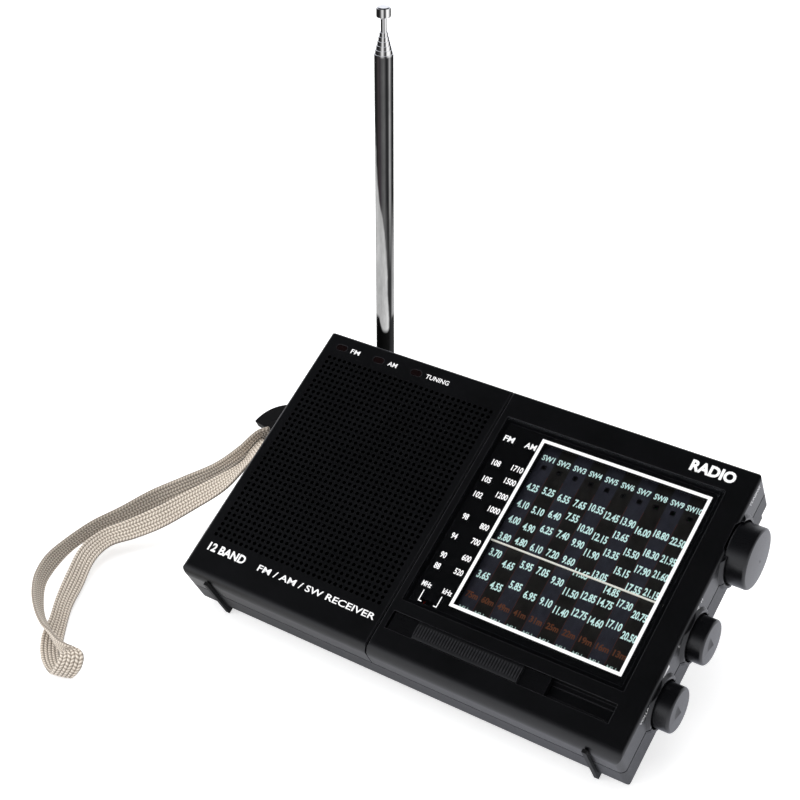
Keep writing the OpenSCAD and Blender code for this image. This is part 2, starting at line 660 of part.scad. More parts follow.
// drawn tube k with a lip at its top that guides the next one; tube 0 is closed at its foot
module tube(k, z0) {
    height = tube_top + k * ring_h - z0;
    bore_z = k == 0 ? 1 : -1;
    translate(ant_pivot) difference() {
        translate([0, 0, z0]) cylinder(d = tube_d[k], h = height, $fn = 64);
        translate([0, 0, z0 + bore_z])
            cylinder(d = tube_d[k] - 2 * tube_wall, h = height - 1.2 - bore_z, $fn = 64);
        translate([0, 0, z0 + 4]) cylinder(d = tube_d[k + 1] + 0.12, h = height, $fn = 64);
    }
}
module sliding_tube(k) tube(k, 7.4 + 0.6 * k);
module antenna_tube() color(chrome) {
    tube(0, 5.2);
    // hinge knuckle, neck and collar
    translate(ant_pivot) difference() {
        union() {
            rotate([0, 90, 0]) translate([0, 0, -2.5]) cylinder(r = fork_r, h = 5, $fn = 64);
            translate([-2.5, -2.2, 0]) cube([5, 4.4, 5.2]);
            translate([0, 0, 4.8]) cylinder(r = 3.1, h = 1.4, $fn = 64);
        }
        rotate([0, 90, 0]) translate([0, 0, -5]) cylinder(r = ant_pin_r + 0.05, h = 10, $fn = 64);
    }
}
module antenna_section_2() color(chrome) sliding_tube(1);
module antenna_section_3() color(chrome) sliding_tube(2);
module antenna_section_4() color(chrome) sliding_tube(3);
module antenna_section_5() color(chrome) sliding_tube(4);
module antenna_section_6() color(chrome) sliding_tube(5);
module antenna_rod() color(chrome) translate(ant_pivot) {
    translate([0, 0, 11]) cylinder(d = tube_d[6], h = rod_len - tip_h - 10.8, $fn = 48);
    // button tip with rounded edges
    translate([0, 0, rod_len - tip_h]) rotate_extrude($fn = 64) {
        square([1.75, tip_h]);
        translate([0, 0.6]) square([2.325, 2.2]);
        for (z = [0.6, 2.8]) translate([1.725, z]) circle(r = 0.6, $fn = 32);
    }
}

// ---- wrist strap ----
module strap_pin() color(plain_metal) place()
    along_z(1.8, 10.5, strap_pin_at[0], strap_pin_at[1], strap_pin_r);
// eye round the pin, running into a curved sleeve
module strap_sleeve() color([0.03, 0.03, 0.03]) place() {
    difference() {
        union() {
            along_z(6.6, 9.9, strap_pin_at[0], strap_pin_at[1], 2.3);
            block(-82.2, strap_pin_at[0], 18.8, 22.8, 6.6, 9.9);
        }
        along_z(0, 12, strap_pin_at[0], strap_pin_at[1], strap_pin_r + 0.08);
    }
    translate([-82, 10, 6.5]) rotate([0, 0, 90]) rotate_extrude(angle = 80, $fn = 96)
        translate([8.4, 0]) square([5.2, 3.5]);
}

// centre line of the webbing in the finished frame, from the sleeve down to the table: x, y, z
strap_pts = [[-93.6, 50.6, 30.4], [-101, 46, 22], [-110, 41, 13], [-119, 33, 5.5],
             [-127, 20, 0.5], [-132, 4, -2.2], [-131, -14, -3.6], [-123, -32, -4.5],
             [-110, -44, -4.7], [-95, -50, -4.7]];
strap_n = len(strap_pts) - 1;
strap_steps = 45;
strap_half_t = 1.35;     // half its thickness
// Catmull-Rom curve from p1 to p2
function spline(p0, p1, p2, p3, t) =
    0.5 * ((2 * p1) + (p2 - p0) * t + (2 * p0 - 5 * p1 + 4 * p2 - p3) * t * t
           + (3 * p1 - p0 - 3 * p2 + p3) * t * t * t);
// u counts strap points along the line
function strap_at(u) =
    let (i = min(floor(u), strap_n - 1))
    spline(strap_pts[max(i - 1, 0)], strap_pts[i], strap_pts[i + 1],
           strap_pts[min(i + 2, strap_n)], u - i);
function unit(v) = v / norm(v);
function strap_dir(u) = unit(strap_at(min(u + 0.05, strap_n)) - strap_at(max(u - 0.05, 0)));
// four corners of the cross-section, which widens over the first three points
function strap_ring(u) =
    let (mid = strap_at(u), dir = strap_dir(u), side = unit(cross(dir, [0, 0, 1])),
         across = side * (3.6 + 2.2 * min(u / 3, 1)), up = cross(side, dir) * strap_half_t)
    [mid - across - up, mid + across - up, mid + across + up, mid - across + up];
module wrist_strap() color([0.62, 0.56, 0.48]) {
    points = [for (k = [0:strap_steps]) each strap_ring(k * strap_n / strap_steps)];
    end_faces = [[0, 1, 2, 3], [for (j = [3:-1:0]) strap_steps * 4 + j]];
    side_faces = [for (k = [0:strap_steps - 1], j = [0:3])
        let (a = k * 4 + j, b = k * 4 + (j + 1) % 4)
        each [[a, a + 4, b], [b, a + 4, b + 4]]];
    polyhedron(points = points, faces = concat(end_faces, side_faces));
}

rear_cover();
speaker_cover();
dial_cover();
dial_window();
scale_plate();
band_indicator();
band_slider();
band_switch();
dial_pointer();
pointer_rail();
dial_cord();
cord_guides();
dial_drum();
tuning_capacitor();
tuning_bracket();
tuning_shaft();
tuning_knob();
tone_pot();
tone_shaft();
tone_knob();
volume_pot();
volume_shaft();
volume_knob();
circuit_board();
board_screws();
led_board();
fm_led();
am_led();
tuning_led();
speaker_frame();
speaker_cone();
speaker_magnet();
speaker_gasket();
ferrite_rod();
ferrite_coil();
batteries();
battery_contacts();
battery_door();
kickstand();
stand_pin();
rubber_feet();
case_screws();
headphone_jack();
dc_jack();
antenna_swivel();
antenna_screw();
antenna_pin();
antenna_tube();
antenna_section_2();
antenna_section_3();
antenna_section_4();
antenna_section_5();
antenna_section_6();
antenna_rod();
strap_pin();
strap_sleeve();
wrist_strap();
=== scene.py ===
"""Looks of a portable radio that leans back, face up, on a white table, with its wrist strap.

Row frame (the scene): X to the right, Y away from the viewer, Z up.
Radio frame: X along its width, Y up its face, Z out of its face, in millimetres.
The radio frame is turned about X by LEAN. Node trees, print and strap are sized in millimetres.
"""
import functools
import math
import bmesh
import bpy
import numpy as np
from mathutils import Matrix, Vector


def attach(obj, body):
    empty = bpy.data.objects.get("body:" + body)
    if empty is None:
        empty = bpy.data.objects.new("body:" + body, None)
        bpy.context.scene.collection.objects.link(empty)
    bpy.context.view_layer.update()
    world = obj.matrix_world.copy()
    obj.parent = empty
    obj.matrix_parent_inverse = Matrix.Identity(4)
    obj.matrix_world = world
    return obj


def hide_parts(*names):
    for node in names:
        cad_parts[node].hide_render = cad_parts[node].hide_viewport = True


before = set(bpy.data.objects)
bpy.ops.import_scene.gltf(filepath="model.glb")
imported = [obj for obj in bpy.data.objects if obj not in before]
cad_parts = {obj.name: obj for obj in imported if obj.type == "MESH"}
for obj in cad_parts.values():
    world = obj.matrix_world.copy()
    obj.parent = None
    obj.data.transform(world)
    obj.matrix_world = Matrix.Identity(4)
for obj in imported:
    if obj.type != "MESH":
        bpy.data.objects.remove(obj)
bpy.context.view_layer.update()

MM = 0.001
LEAN = math.radians(29.38)
COS, SIN = math.cos(LEAN), math.sin(LEAN)
# the row frame's origin is this far below, and out of, the radio frame's origin
ORIGIN_DOWN, ORIGIN_OUT = 50.3, 5.0
TABLE = -6.25  # height of the table in the row frame
RADIO_TO_ROW = Matrix((
    (MM, 0, 0, 0),
    (0, MM * COS, -MM * SIN, MM * (ORIGIN_DOWN * COS + ORIGIN_OUT * SIN)),
    (0, MM * SIN, MM * COS, MM * (ORIGIN_DOWN * SIN - ORIGIN_OUT * COS)),
    (0, 0, 0, 1)))


def link_object(name, mesh):
    thing = bpy.data.objects.new(name, mesh)
    bpy.context.scene.collection.objects.link(thing)
    return thing


# ---------------------------------------------------------------------------------------
# node trees
# ---------------------------------------------------------------------------------------
class Signal:
    """A node output. Arithmetic on it adds Math nodes."""

    def __init__(self, tree, socket):
        self.tree = tree
        self.socket = socket

    def math(self, operation, *values, clamp=False):
        return self.tree.math(operation, self, *values, clamp=clamp)

    def __add__(self, other):
        return self.math("ADD", other)

    def __radd__(self, other):
        return self.tree.math("ADD", other, self)

    def __sub__(self, other):
        return self.math("SUBTRACT", other)

    def __mul__(self, other):
        return self.math("MULTIPLY", other)

    def __truediv__(self, other):
        return self.math("DIVIDE", other)

    def __pow__(self, other):
        return self.math("POWER", other)

    def __gt__(self, other):
        return self.math("GREATER_THAN", other)

    def __lt__(self, other):
        return self.math("LESS_THAN", other)

    def __abs__(self):
        return self.math("ABSOLUTE")

    def remap(self, start, end, low=0.0, high=1.0):
        """Goes from low at start to high at end, and is held beyond them."""
        return self.tree.add("MapRange", {"Value": self, "From Min": start, "From Max": end,
                                          "To Min": low, "To Max": high})

    def ramp(self, stops):
        """Colour ramp. Each stop is (position, grey or colour)."""
        out = self.tree.add("ValToRGB", {"Fac": self})
        elements = out.socket.node.color_ramp.elements
        elements.remove(elements[0])
        for i, (position, color) in enumerate(stops):
            element = elements.new(position) if i else elements[0]
            element.position = position
            element.color = (*color, 1) if isinstance(color, tuple) else (color,) * 3 + (1,)
        return out


class Tree:
    """Builds the nodes of a material or world."""

    def __init__(self, owner, output="OutputMaterial"):
        owner.use_nodes = True
        self.owner = owner
        self.nodes = owner.node_tree.nodes
        self.nodes.clear()
        self.out = self.nodes.new("ShaderNode" + output)

    def put(self, socket, value):
        if isinstance(value, Signal):
            self.owner.node_tree.links.new(value.socket, socket)
        elif isinstance(value, tuple) and socket.type == "RGBA":
            socket.default_value = (*value, 1.0)
        else:
            socket.default_value = value

    def add(self, kind, inputs, output=0, **settings):
        """Adds a node and returns its chosen output, or a list for a tuple of outputs."""
        node = self.nodes.new("ShaderNode" + kind)
        for name, value in settings.items():
            setattr(node, name, value)
        for key, value in inputs.items():
            self.put(node.inputs[key], value)
        if isinstance(output, tuple):
            return [Signal(self, node.outputs[key]) for key in output]
        return Signal(self, node.outputs[output])

    def math(self, operation, *values, clamp=False):
        inputs = dict(enumerate((*values, 0.0, 0.0)[:3]))
        return self.add("Math", inputs, operation=operation, use_clamp=clamp)

    def place(self, tilted=True, stretch=(1, 1, 1)):
        """Position in millimetres, along the radio's own axes if tilted."""
        place = self.add("TexCoord", {}, "Object")
        if tilted:
            place = self.add("Mapping", {"Vector": place, "Rotation": (-LEAN, 0, 0)})
        scale = tuple(1000.0 * s for s in stretch)
        return self.add("Mapping", {"Vector": place, "Scale": scale})

    def radio_place(self):
        """True x, y and z in the radio frame, in millimetres."""
        x, y, z = self.split(self.add("TexCoord", {}, "Object"))
        up = y * (1000 * COS) + z * (1000 * SIN) - ORIGIN_DOWN
        out = z * (1000 * COS) - y * (1000 * SIN) + ORIGIN_OUT
        return self.split(self.join(x * 1000.0, up, out))

    def join(self, x, y, z):
        return self.add("CombineXYZ", {"X": x, "Y": y, "Z": z})

    def split(self, vector):
        return self.add("SeparateXYZ", {"Vector": vector}, (0, 1, 2))

    def noise(self, vector, scale, detail=2.0, rough=0.5):
        return self.add("TexNoise", {"Vector": vector, "Scale": scale, "Detail": detail,
                                     "Roughness": rough}, "Fac")

    def mix(self, factor, first, second, blend="MIX"):
        return self.add("Mix", {0: factor, 6: first, 7: second}, 2,
                        data_type="RGBA", blend_type=blend)

    def bevel(self, radius, samples=6):
        return self.add("Bevel", {"Radius": radius * MM}, samples=samples)

    def bump(self, height, distance, strength, normal=None):
        inputs = {"Height": height, "Strength": strength, "Distance": distance * MM}
        if normal is not None:
            inputs["Normal"] = normal
        return self.add("Bump", inputs)

    def principled(self, color, rough, normal, metal=0.0, spec=0.5, extra={}):
        self.owner.diffuse_color = (0.1, 0.1, 0.1, 1)
        return self.add("BsdfPrincipled", {
            "Base Color": color, "Roughness": rough, "Metallic": metal,
            "Specular IOR Level": spec, "Normal": normal, **extra})

    def finish(self, shader):
        self.put(self.out.inputs[0], shader)
        return self.owner

    def surface(self, *values, **named):
        return self.finish(self.principled(*values, **named))


def material(name):
    return Tree(bpy.data.materials.new(name))


# ---------------------------------------------------------------------------------------
# materials of the radio
# ---------------------------------------------------------------------------------------
HOLE_FIRST = (-76.36, -34.4)  # centre of the lower left grille hole
HOLE_WRAP = (1.06, 1.04)  # half the pitch of the holes in x and y
HOLE_OFFSET = 0.0  # shift of a hole from the middle of its pitch
# radii of the painted shade round each grille hole
HOLE_SHADE_RADII = (0.64, 0.74)  # dark out to the first radius, clear from the second
HOLE_FIELD_X = (-77.4, -9.6)
HOLE_FIELD_Y = (-35.4, 41.4)


def hole_rim_shade(tree):
    """1 at the edge of every grille hole, 0 elsewhere: the mask of a painted shade round each
    hole.
    """
    x, y, _ = tree.radio_place()
    across, up = ((value + -first).math("WRAP", half, -half) - HOLE_OFFSET
                  for value, first, half in zip((x, y), HOLE_FIRST, HOLE_WRAP))
    radius = (across * across + up * up).math("SQRT")
    rim_shade = radius.remap(*HOLE_SHADE_RADII, low=1.0, high=0.0)
    (left, right), (bottom, top) = HOLE_FIELD_X, HOLE_FIELD_Y
    return rim_shade * (((x > left) * (x < right)) * ((y > bottom) * (y < top)))


def even_crown(tree, bevelled, normal, amount):
    """Turns the normal towards +X over a knob's gently domed end."""
    facing = tree.split(normal)[0].remap(0.970, 0.980)
    mixed = tree.add("Mix", {0: facing * amount, 4: bevelled, 5: (1.0, 0.0, 0.0)}, 1,
                     data_type="VECTOR")
    return tree.add("VectorMath", {0: mixed}, operation="NORMALIZE")


def moulded(name, dark, light, rough, grain=0.016, edge=0.22, holes=False, crest=None,
            crown=0.0):
    """Black moulded plastic: fine grain, faint clouding, and slightly polished edges with a
    painted highlight.

    holes darkens the rims of the grille holes as painted shade, crest pales what rises above that
    height as a painted highlight, and crown evens out the domed end of a knob.
    """
    tree = material(name)
    place = tree.place()
    fine = tree.noise(place, scale=7.5, detail=3, rough=0.6)
    cloud = tree.noise(place, scale=0.06, detail=3, rough=0.55)
    scuff = tree.noise(tree.place(stretch=(0.25, 1.6, 1.0)), scale=1.4, detail=4, rough=0.7)
    bevelled = tree.bevel(edge)
    normal = tree.add("NewGeometry", {}, "Normal")
    if crown:
        bevelled = even_crown(tree, bevelled, normal, crown)
    # the bevelled normal parts from the true one only near an edge
    agree = tree.add("VectorMath", {0: bevelled, 1: normal}, "Value", operation="DOT_PRODUCT")
    wear_and_edge_highlight = agree.remap(0.995, 0.86)
    color = tree.mix(cloud.remap(0.3, 0.7), dark, light)
    # painted highlight: edges paler, as if catching the light; they are also a little smoother
    color = tree.mix(wear_and_edge_highlight * 0.8, color, (0.042, 0.042, 0.047))
    rough = rough + (fine - 0.5) * 0.16 + (scuff - 0.5) * 0.10
    rough = rough.math("SUBTRACT", wear_and_edge_highlight * 0.10, clamp=True)
    spec = 0.5
    if crest is not None:
        # painted highlight: what rises above the crest height, the tops of the slider's ribs, is
        # paler
        painted_top_highlight = tree.radio_place()[2].remap(crest, crest + 0.22)
        color = tree.mix(painted_top_highlight, color, (0.017, 0.017, 0.019))
    if holes:
        # painted shade: grille hole rims darkened, matt and without gloss, so the holes read wider
        rim_shade = hole_rim_shade(tree)
        color = tree.mix(rim_shade, color, (0.0003, 0.0003, 0.0003))
        rough = rough.math("ADD", rim_shade, clamp=True)
        spec = rim_shade.remap(0.0, 1.0, low=spec, high=0.03)
    relief = tree.bump(fine, distance=grain, strength=0.55, normal=bevelled)
    return tree.surface(color, rough, relief, spec=spec)


def mottled(name, dark, light, rough, scale, bump, bevel=True, spec=0.5):
    """Two tones with fine variation, for moulded, cast and woven small parts."""
    tree = material(name)
    fine = tree.noise(tree.place(), scale, detail=4, rough=0.6)
    rough = tree.math("ADD", rough, (fine - 0.5) * 0.15, clamp=True)
    edge = tree.bevel(0.12, samples=4) if bevel else None
    return tree.surface(tree.mix(fine.remap(0.3, 0.7), dark, light), rough,
                        tree.bump(fine, bump, strength=0.6, normal=edge), spec=spec)


def steel(name, base, rough, stretch=(0.06, 1, 1)):
    """Drawn or turned steel, with long fine lines one way."""
    tree = material(name)
    lines = tree.noise(tree.place(stretch=stretch), scale=16, detail=3, rough=0.7)
    smudge = tree.noise(tree.place(), scale=0.5, detail=3)
    color = tree.mix(lines, tuple(0.82 * c for c in base), base)
    rough = rough + (lines - 0.5) * 0.18
    rough = rough.math("ADD", (smudge - 0.5) * 0.12, clamp=True)
    relief = tree.bump(lines, distance=0.006, strength=0.5, normal=tree.bevel(0.1, samples=4))
    return tree.surface(color, rough, relief, metal=1.0)


def coil_wire():
    """Copper turns side by side."""
    half_turn = 0.15
    tree = material("coil_wire")
    turns = tree.split(tree.place())[0].math("PINGPONG", half_turn).remap(0, half_turn)
    color = tree.mix(turns, (0.10, 0.03, 0.008), (0.45, 0.17, 0.05))
    return tree.surface(color, 0.32, tree.bump(turns, distance=0.1, strength=0.8), metal=0.6)


def circuit():
    """Green board with pale traces, black above the height of its top."""
    board_top = 6.72
    trace_shift, trace_spacing, trace_width = 0.0, 0.06, 0.018
    tree = material("circuit_green")
    place = tree.place()
    height = tree.split(place)[2]
    cells = tree.add("Mapping", {"Vector": place, "Scale": (0.35, 0.12, 0.2)})
    trace = tree.add("TexVoronoi", {"Vector": cells, "Scale": 1.0}, "Distance",
                     feature="DISTANCE_TO_EDGE")
    lines = (trace + trace_shift).math("PINGPONG", trace_spacing) < trace_width
    color = tree.mix(lines, (0.012, 0.075, 0.03), (0.03, 0.16, 0.06))
    color = tree.mix(height > board_top, color, (0.02, 0.02, 0.022))
    relief = tree.bump(lines, distance=0.03, strength=0.6, normal=tree.bevel(0.1, samples=4))
    return tree.surface(color, lines.remap(0, 1, low=0.42, high=0.3), relief)


def cell_jacket():
    """Dark battery jackets with a copper band on each cell."""
    start, cell_pitch, band_from = 51.1, 51.7, 35.0
    tree = material("cell_jacket")
    x = tree.split(tree.place())[0]
    band = (x + start).math("MODULO", cell_pitch) > band_from
    fine = tree.noise(tree.place(), scale=3, detail=3)
    color = tree.mix(band, (0.03, 0.032, 0.036), (0.55, 0.33, 0.10))
    color = tree.mix(fine * 0.25, color, (0.2, 0.2, 0.2))
    rough = fine.remap(0.3, 0.7, low=0.22, high=0.36)
    return tree.surface(color, rough, tree.bevel(0.3, samples=4), metal=0.5)


def grey(level):
    """Linear brightness of a display grey from 0 to 255."""
    return (level / 255.0) ** 2.2


def greys(*stops):
    """Ramp stops from (position, display grey) pairs."""
    return [(position, grey(level)) for position, level in stops]


# Painted reflection on the rod of cards and flags, which the scene does not hold. Positions run
# across the rod, from 0 to 1.
ROD_UPPER = [
    *greys((0.0, 40), (0.05, 6), (0.13, 8)),
    (0.19, (grey(44), grey(36), grey(36))), (0.30, (grey(52), grey(47), grey(52))),
    *greys((0.38, 76), (0.50, 88), (0.56, 60), (0.61, 20), (0.69, 18), (0.74, 86), (0.79, 165),
           (0.84, 112), (0.885, 30), (0.95, 8), (1.0, 70))]
ROD_LOWER = greys((0.0, 120), (0.45, 112), (0.60, 100), (0.70, 56), (0.78, 26), (0.83, 50),
                  (0.885, 140), (0.95, 170), (1.0, 120))
ROD_CARD = greys((0.0, 176), (0.12, 180), (0.3, 166), (0.5, 190), (0.62, 205), (0.72, 230))
ROD_FOOT = greys((0.0, 60), (0.05, 10), (0.5, 20), (0.8, 26), (0.93, 46), (1.0, 40))
ROD_THIN = greys((0.0, 90), (0.06, 18), (0.19, 14), (0.29, 70), (0.40, 222), (0.48, 180),
                 (0.55, 50), (0.63, 60), (0.71, 250), (0.83, 250), (0.92, 36), (1.0, 16))
# how far across the rod the painted reflection of a white card reaches, by share of its height
CARD_REACH = [(0.0, 0.73), (0.10, 0.71), (0.17, 0.66), (0.235, 0.63), (0.295, 0.57),
              (0.36, 0.50), (0.405, 0.40), (0.45, 0.23), (0.50, 0.14), (0.56, 0.09),
              (0.66, 0.03), (0.74, -0.1), (1.0, -0.1)]


def chrome():
    """Polished tube with faint drawing lines and handling marks.

    Seen by the camera, its sides show a painted reflection of a studio of cards and flags: an
    emission set by the heading of the mirrored ray and the height on the rod. Heights here are in
    metres.
    """
    heading_x, heading_y = 0.567, 0.824
    tree = material("chrome_plate")
    lines = tree.noise(tree.place(tilted=False, stretch=(1, 1, 0.02)),
                       scale=9, detail=3, rough=0.7)
    marks = tree.noise(tree.place(tilted=False), scale=0.35, detail=5, rough=0.7)
    color = tree.mix(marks, (0.74, 0.74, 0.76), (0.84, 0.84, 0.85))
    rough = 0.045 + marks.remap(0.45, 0.8) * 0.10
    relief = tree.bump(lines, distance=0.0012, strength=0.4, normal=tree.bevel(0.12))
    plate = tree.principled(color, rough, relief, metal=1.0)

    ray_x, ray_y, _ = tree.split(tree.add("TexCoord", {}, "Reflection"))
    position, normal = tree.add("NewGeometry", {}, ("Position", "Normal"))
    height = tree.split(position)[2]
    facing_up = abs(tree.split(normal)[2])
    ahead = ray_x * heading_x - ray_y * heading_y
    aside = ray_x * heading_y + ray_y * heading_x
    half_angle = aside.math("ARCTAN2", ahead) * 0.5
    across = half_angle.math("SINE").math("MULTIPLY_ADD", 0.5, 0.5)
    share = height.remap(0.06, 0.18)

    def ripple(across_scale, height_scale):
        vector = tree.join(across * across_scale, 0.0, height * height_scale)
        return tree.noise(vector, scale=1.0, detail=3, rough=0.6)

    wave = ripple(2.5, 90.0)
    spots = ripple(14.0, 420.0)
    upper = across.ramp(ROD_UPPER)
    lower = across.ramp(ROD_LOWER)
    color = tree.mix(share.remap(0.24, 0.46), lower, upper)
    edge = share.ramp(CARD_REACH) - across + (wave - 0.5) * 0.10
    color = tree.mix(edge.remap(-0.03, 0.05), color, across.ramp(ROD_CARD))
    for pattern, low, high in ((wave, 0.60, 1.40), (spots, 0.78, 1.22)):
        tone = tree.mix(pattern, (low,) * 3, (high,) * 3)
        color = tree.mix(1.0, color, tone, "MULTIPLY")
    # painted reflection of the dark top of the case at the foot, ending in a rounded tongue
    bow = (abs(across - 0.52) / 0.32) ** 3.0
    tongue = 0.0658 + bow.math("MINIMUM", 1.3) * 0.0042
    above_tongue = (height - tongue).remap(-0.0009, 0.0007)
    color = tree.mix(above_tongue, across.ramp(ROD_FOOT), color)
    # the thin stages at the top get a painted reflection of harder, smaller cards
    color = tree.mix(share.remap(0.868, 0.876), color, across.ramp(ROD_THIN))

    # painted reflection: the pattern above, given as emission to camera rays on the rod's upright
    # sides
    painted_reflection = tree.add("Emission", {"Color": color, "Strength": 1.0})
    camera_ray = tree.add("LightPath", {}, "Is Camera Ray")
    factor = (camera_ray * 0.985) * facing_up.remap(0.35, 0.6, low=1.0, high=0.0)
    return tree.finish(tree.add("MixShader", {"Fac": factor, 1: plate, 2: painted_reflection}))


def clear_window():
    """Clear acrylic: mirror-like at a slant, with a few faint hairlines."""
    tree = material("window_clear")
    hair = tree.noise(tree.place(stretch=(0.1, 2.5, 1)), scale=1.1, detail=5, rough=0.75)
    rough = hair.remap(0.5, 0.75, low=0.02, high=0.07)
    gloss = tree.add("BsdfGlossy", {"Color": (1, 1, 1), "Roughness": rough})
    clear = tree.add("BsdfTransparent", {"Color": (0.93, 0.94, 0.95)})
    factor = tree.add("Fresnel", {"IOR": 1.46}) * 0.8
    return tree.finish(tree.add("MixShader", {"Fac": factor, 1: clear, 2: gloss}))


def lamp_lens():
    tree = material("lens_dark_red")
    fine = tree.noise(tree.place(), scale=4, detail=2)
    color = tree.mix(fine, (0.0032, 0.0017, 0.0018), (0.0062, 0.0021, 0.0022))
    return tree.surface(color, 0.14, tree.bevel(0.3), extra={"Coat Weight": 0.5})


def ink(name, color, rough=0.5, wear_and_edge_highlight=0.10, painted_glow=0.0):
    """Screen-printed ink with slightly uneven cover; if glow is set, it gets painted light as
    emission, though ink is no lamp.
    """
    tree = material(name)
    cover = tree.noise(tree.place(), scale=9, detail=3, rough=0.65)
    dull = tuple(c * (1 - wear_and_edge_highlight) for c in color)
    return tree.surface(tree.mix(cover.remap(0.35, 0.65), dull, color),
                        cover.remap(0.3, 0.7, low=rough - 0.06, high=rough + 0.06),
                        tree.bump(cover, distance=0.004, strength=0.4),
                        extra={"Emission Color": color, "Emission Strength": painted_glow})


def scale_black():
    tree = material("scale_black")
    fine = tree.noise(tree.place(), scale=6, detail=3)
    cloud = tree.noise(tree.place(), scale=0.08, detail=2)
    color = tree.mix(cloud, (0.0012, 0.0012, 0.0014), (0.0026, 0.0026, 0.0029))
    return tree.surface(color, fine.remap(0.3, 0.7, low=0.42, high=0.55),
                        tree.bump(fine, distance=0.006, strength=0.4))


def strip_tint(name, dark, light):
    """Tinted column of the printed scale, mottled like a half-tone print."""
    tree = material(name)
    mottle = tree.noise(tree.place(stretch=(1, 0.6, 1)), scale=0.55, detail=4, rough=0.65)
    dots = tree.noise(tree.place(), scale=5, detail=2)
    color = tree.mix(mottle.remap(0.3, 0.7), dark, light)
    color = tree.mix(dots * 0.2, color, (0, 0, 0))
    return tree.surface(color, 0.5, tree.bump(dots, distance=0.004, strength=0.4))


SHELL_TONES = (0.0010, 0.0011, 0.0014), (0.0019, 0.0020, 0.0026)
shell = moulded("shell_black", *SHELL_TONES, rough=0.36)
grille_shell = moulded("shell_black_grille", *SHELL_TONES, rough=0.36, holes=True)
rear_shell = moulded("shell_black_rear", (0.0042, 0.0044, 0.0054), (0.0064, 0.0066, 0.0080),
                     rough=0.46, grain=0.03)
knob_black = moulded("knob_black", (0.0016, 0.0017, 0.0022), (0.0028, 0.0029, 0.0037),
                     rough=0.30, grain=0.006, edge=0.3, crown=0.7)
slider_black = moulded("slider_black", (0.0012, 0.0013, 0.0016), (0.0024, 0.0025, 0.0031),
                       rough=0.30, grain=0.008, edge=0.10, crest=20.98)
rubber = mottled("rubber_black", (0.0022, 0.0022, 0.0024), (0.0045, 0.0045, 0.0048),
                 rough=0.6, scale=5, bump=0.02, spec=0.3)
jack_black = mottled("jack_black", (0.006, 0.006, 0.006), (0.012, 0.012, 0.012),
                     rough=0.28, scale=3, bump=0.005)
nylon = mottled("nylon_white", (0.62, 0.6, 0.52), (0.74, 0.72, 0.65),
                rough=0.45, scale=1.2, bump=0.008)
bright_steel = steel("steel_bright", (0.62, 0.62, 0.64), rough=0.26)
zinc = steel("steel_zinc", (0.50, 0.51, 0.50), rough=0.36, stretch=(1, 1, 0.2))
ferrite = mottled("ferrite_grey", (0.02, 0.02, 0.022), (0.045, 0.045, 0.05),
                  rough=0.6, scale=1.6, bump=0.02)
cone_paper = mottled("cone_paper", (0.003, 0.003, 0.003), (0.007, 0.007, 0.0065),
                     rough=0.9, scale=3.5, bump=0.05, bevel=False, spec=0.1)
foam = mottled("gasket_foam", (0.002, 0.002, 0.002), (0.005, 0.005, 0.005),
               rough=0.95, scale=6, bump=0.08, bevel=False, spec=0.1)
mica = mottled("case_clear_grey", (0.5, 0.5, 0.48), (0.62, 0.62, 0.6),
               rough=0.35, scale=1.0, bump=0.006)
lens = lamp_lens()
chrome_plate = chrome()
window_clear = clear_window()
plate_black = scale_black()
ink_white = ink("ink_white", (0.92, 0.92, 0.92))
# the mint and pale green print get painted light as emission
ink_mint = ink("ink_mint", (0.66, 0.90, 0.84), painted_glow=0.34)
ink_green = ink("ink_pale_green", (0.44, 0.62, 0.54), painted_glow=0.15)
ink_brown = ink("ink_orange_brown", (0.17, 0.046, 0.010))
ink_line = ink("ink_line_red", (0.10, 0.016, 0.008))
ink_red = ink("ink_red", (0.62, 0.025, 0.012), rough=0.4, wear_and_edge_highlight=0.15)
tint_blue = strip_tint("tint_blue_grey", (0.018, 0.018, 0.027), (0.030, 0.029, 0.044))
tint_brown = strip_tint("tint_dark_brown", (0.0085, 0.0075, 0.006), (0.016, 0.013, 0.0105))

# material, the pieces it covers
FINISHES = (
    (grille_shell, "speaker_cover"),
    (shell, "dial_cover"),
    (rear_shell, "rear_cover battery_door kickstand"),
    (knob_black, "tuning_knob tone_knob volume_knob"),
    (slider_black, "band_slider"),
    (window_clear, "dial_window"),
    (plate_black, "scale_plate band_indicator"),
    (lens, "fm_led am_led tuning_led"),
    (nylon, "cord_guides dial_drum"),
    (mica, "tuning_capacitor"),
    (chrome_plate, "antenna_tube antenna_section_2 antenna_section_3 antenna_section_4"
                   " antenna_section_5 antenna_section_6 antenna_rod antenna_swivel antenna_pin"),
    (bright_steel, "pointer_rail tuning_shaft tone_shaft volume_shaft board_screws case_screws"
                   " stand_pin strap_pin antenna_screw battery_contacts"),
    (zinc, "tuning_bracket speaker_frame tone_pot volume_pot band_switch"),
    (ferrite, "ferrite_rod speaker_magnet"),
    (coil_wire(), "ferrite_coil"),
    (circuit(), "circuit_board led_board"),
    (cone_paper, "speaker_cone"),
    (foam, "speaker_gasket"),
    (cell_jacket(), "batteries"),
    (jack_black, "headphone_jack dc_jack"),
    (rubber, "rubber_feet strap_sleeve"),
    # the cream pointer gets painted light as emission
    (ink("pointer_cream", (0.95, 0.91, 0.80), rough=0.35, painted_glow=0.35), "dial_pointer"),
    (mottled("cord_braid", (0.45, 0.41, 0.3), (0.66, 0.62, 0.5),
             rough=0.8, scale=7, bump=0.05, bevel=False), "dial_cord"),
)
for finish, pieces in FINISHES:
    for piece in pieces.split():
        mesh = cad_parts[piece].data
        mesh.materials.clear()
        mesh.materials.append(finish)
        for polygon in mesh.polygons:
            polygon.material_index = 0


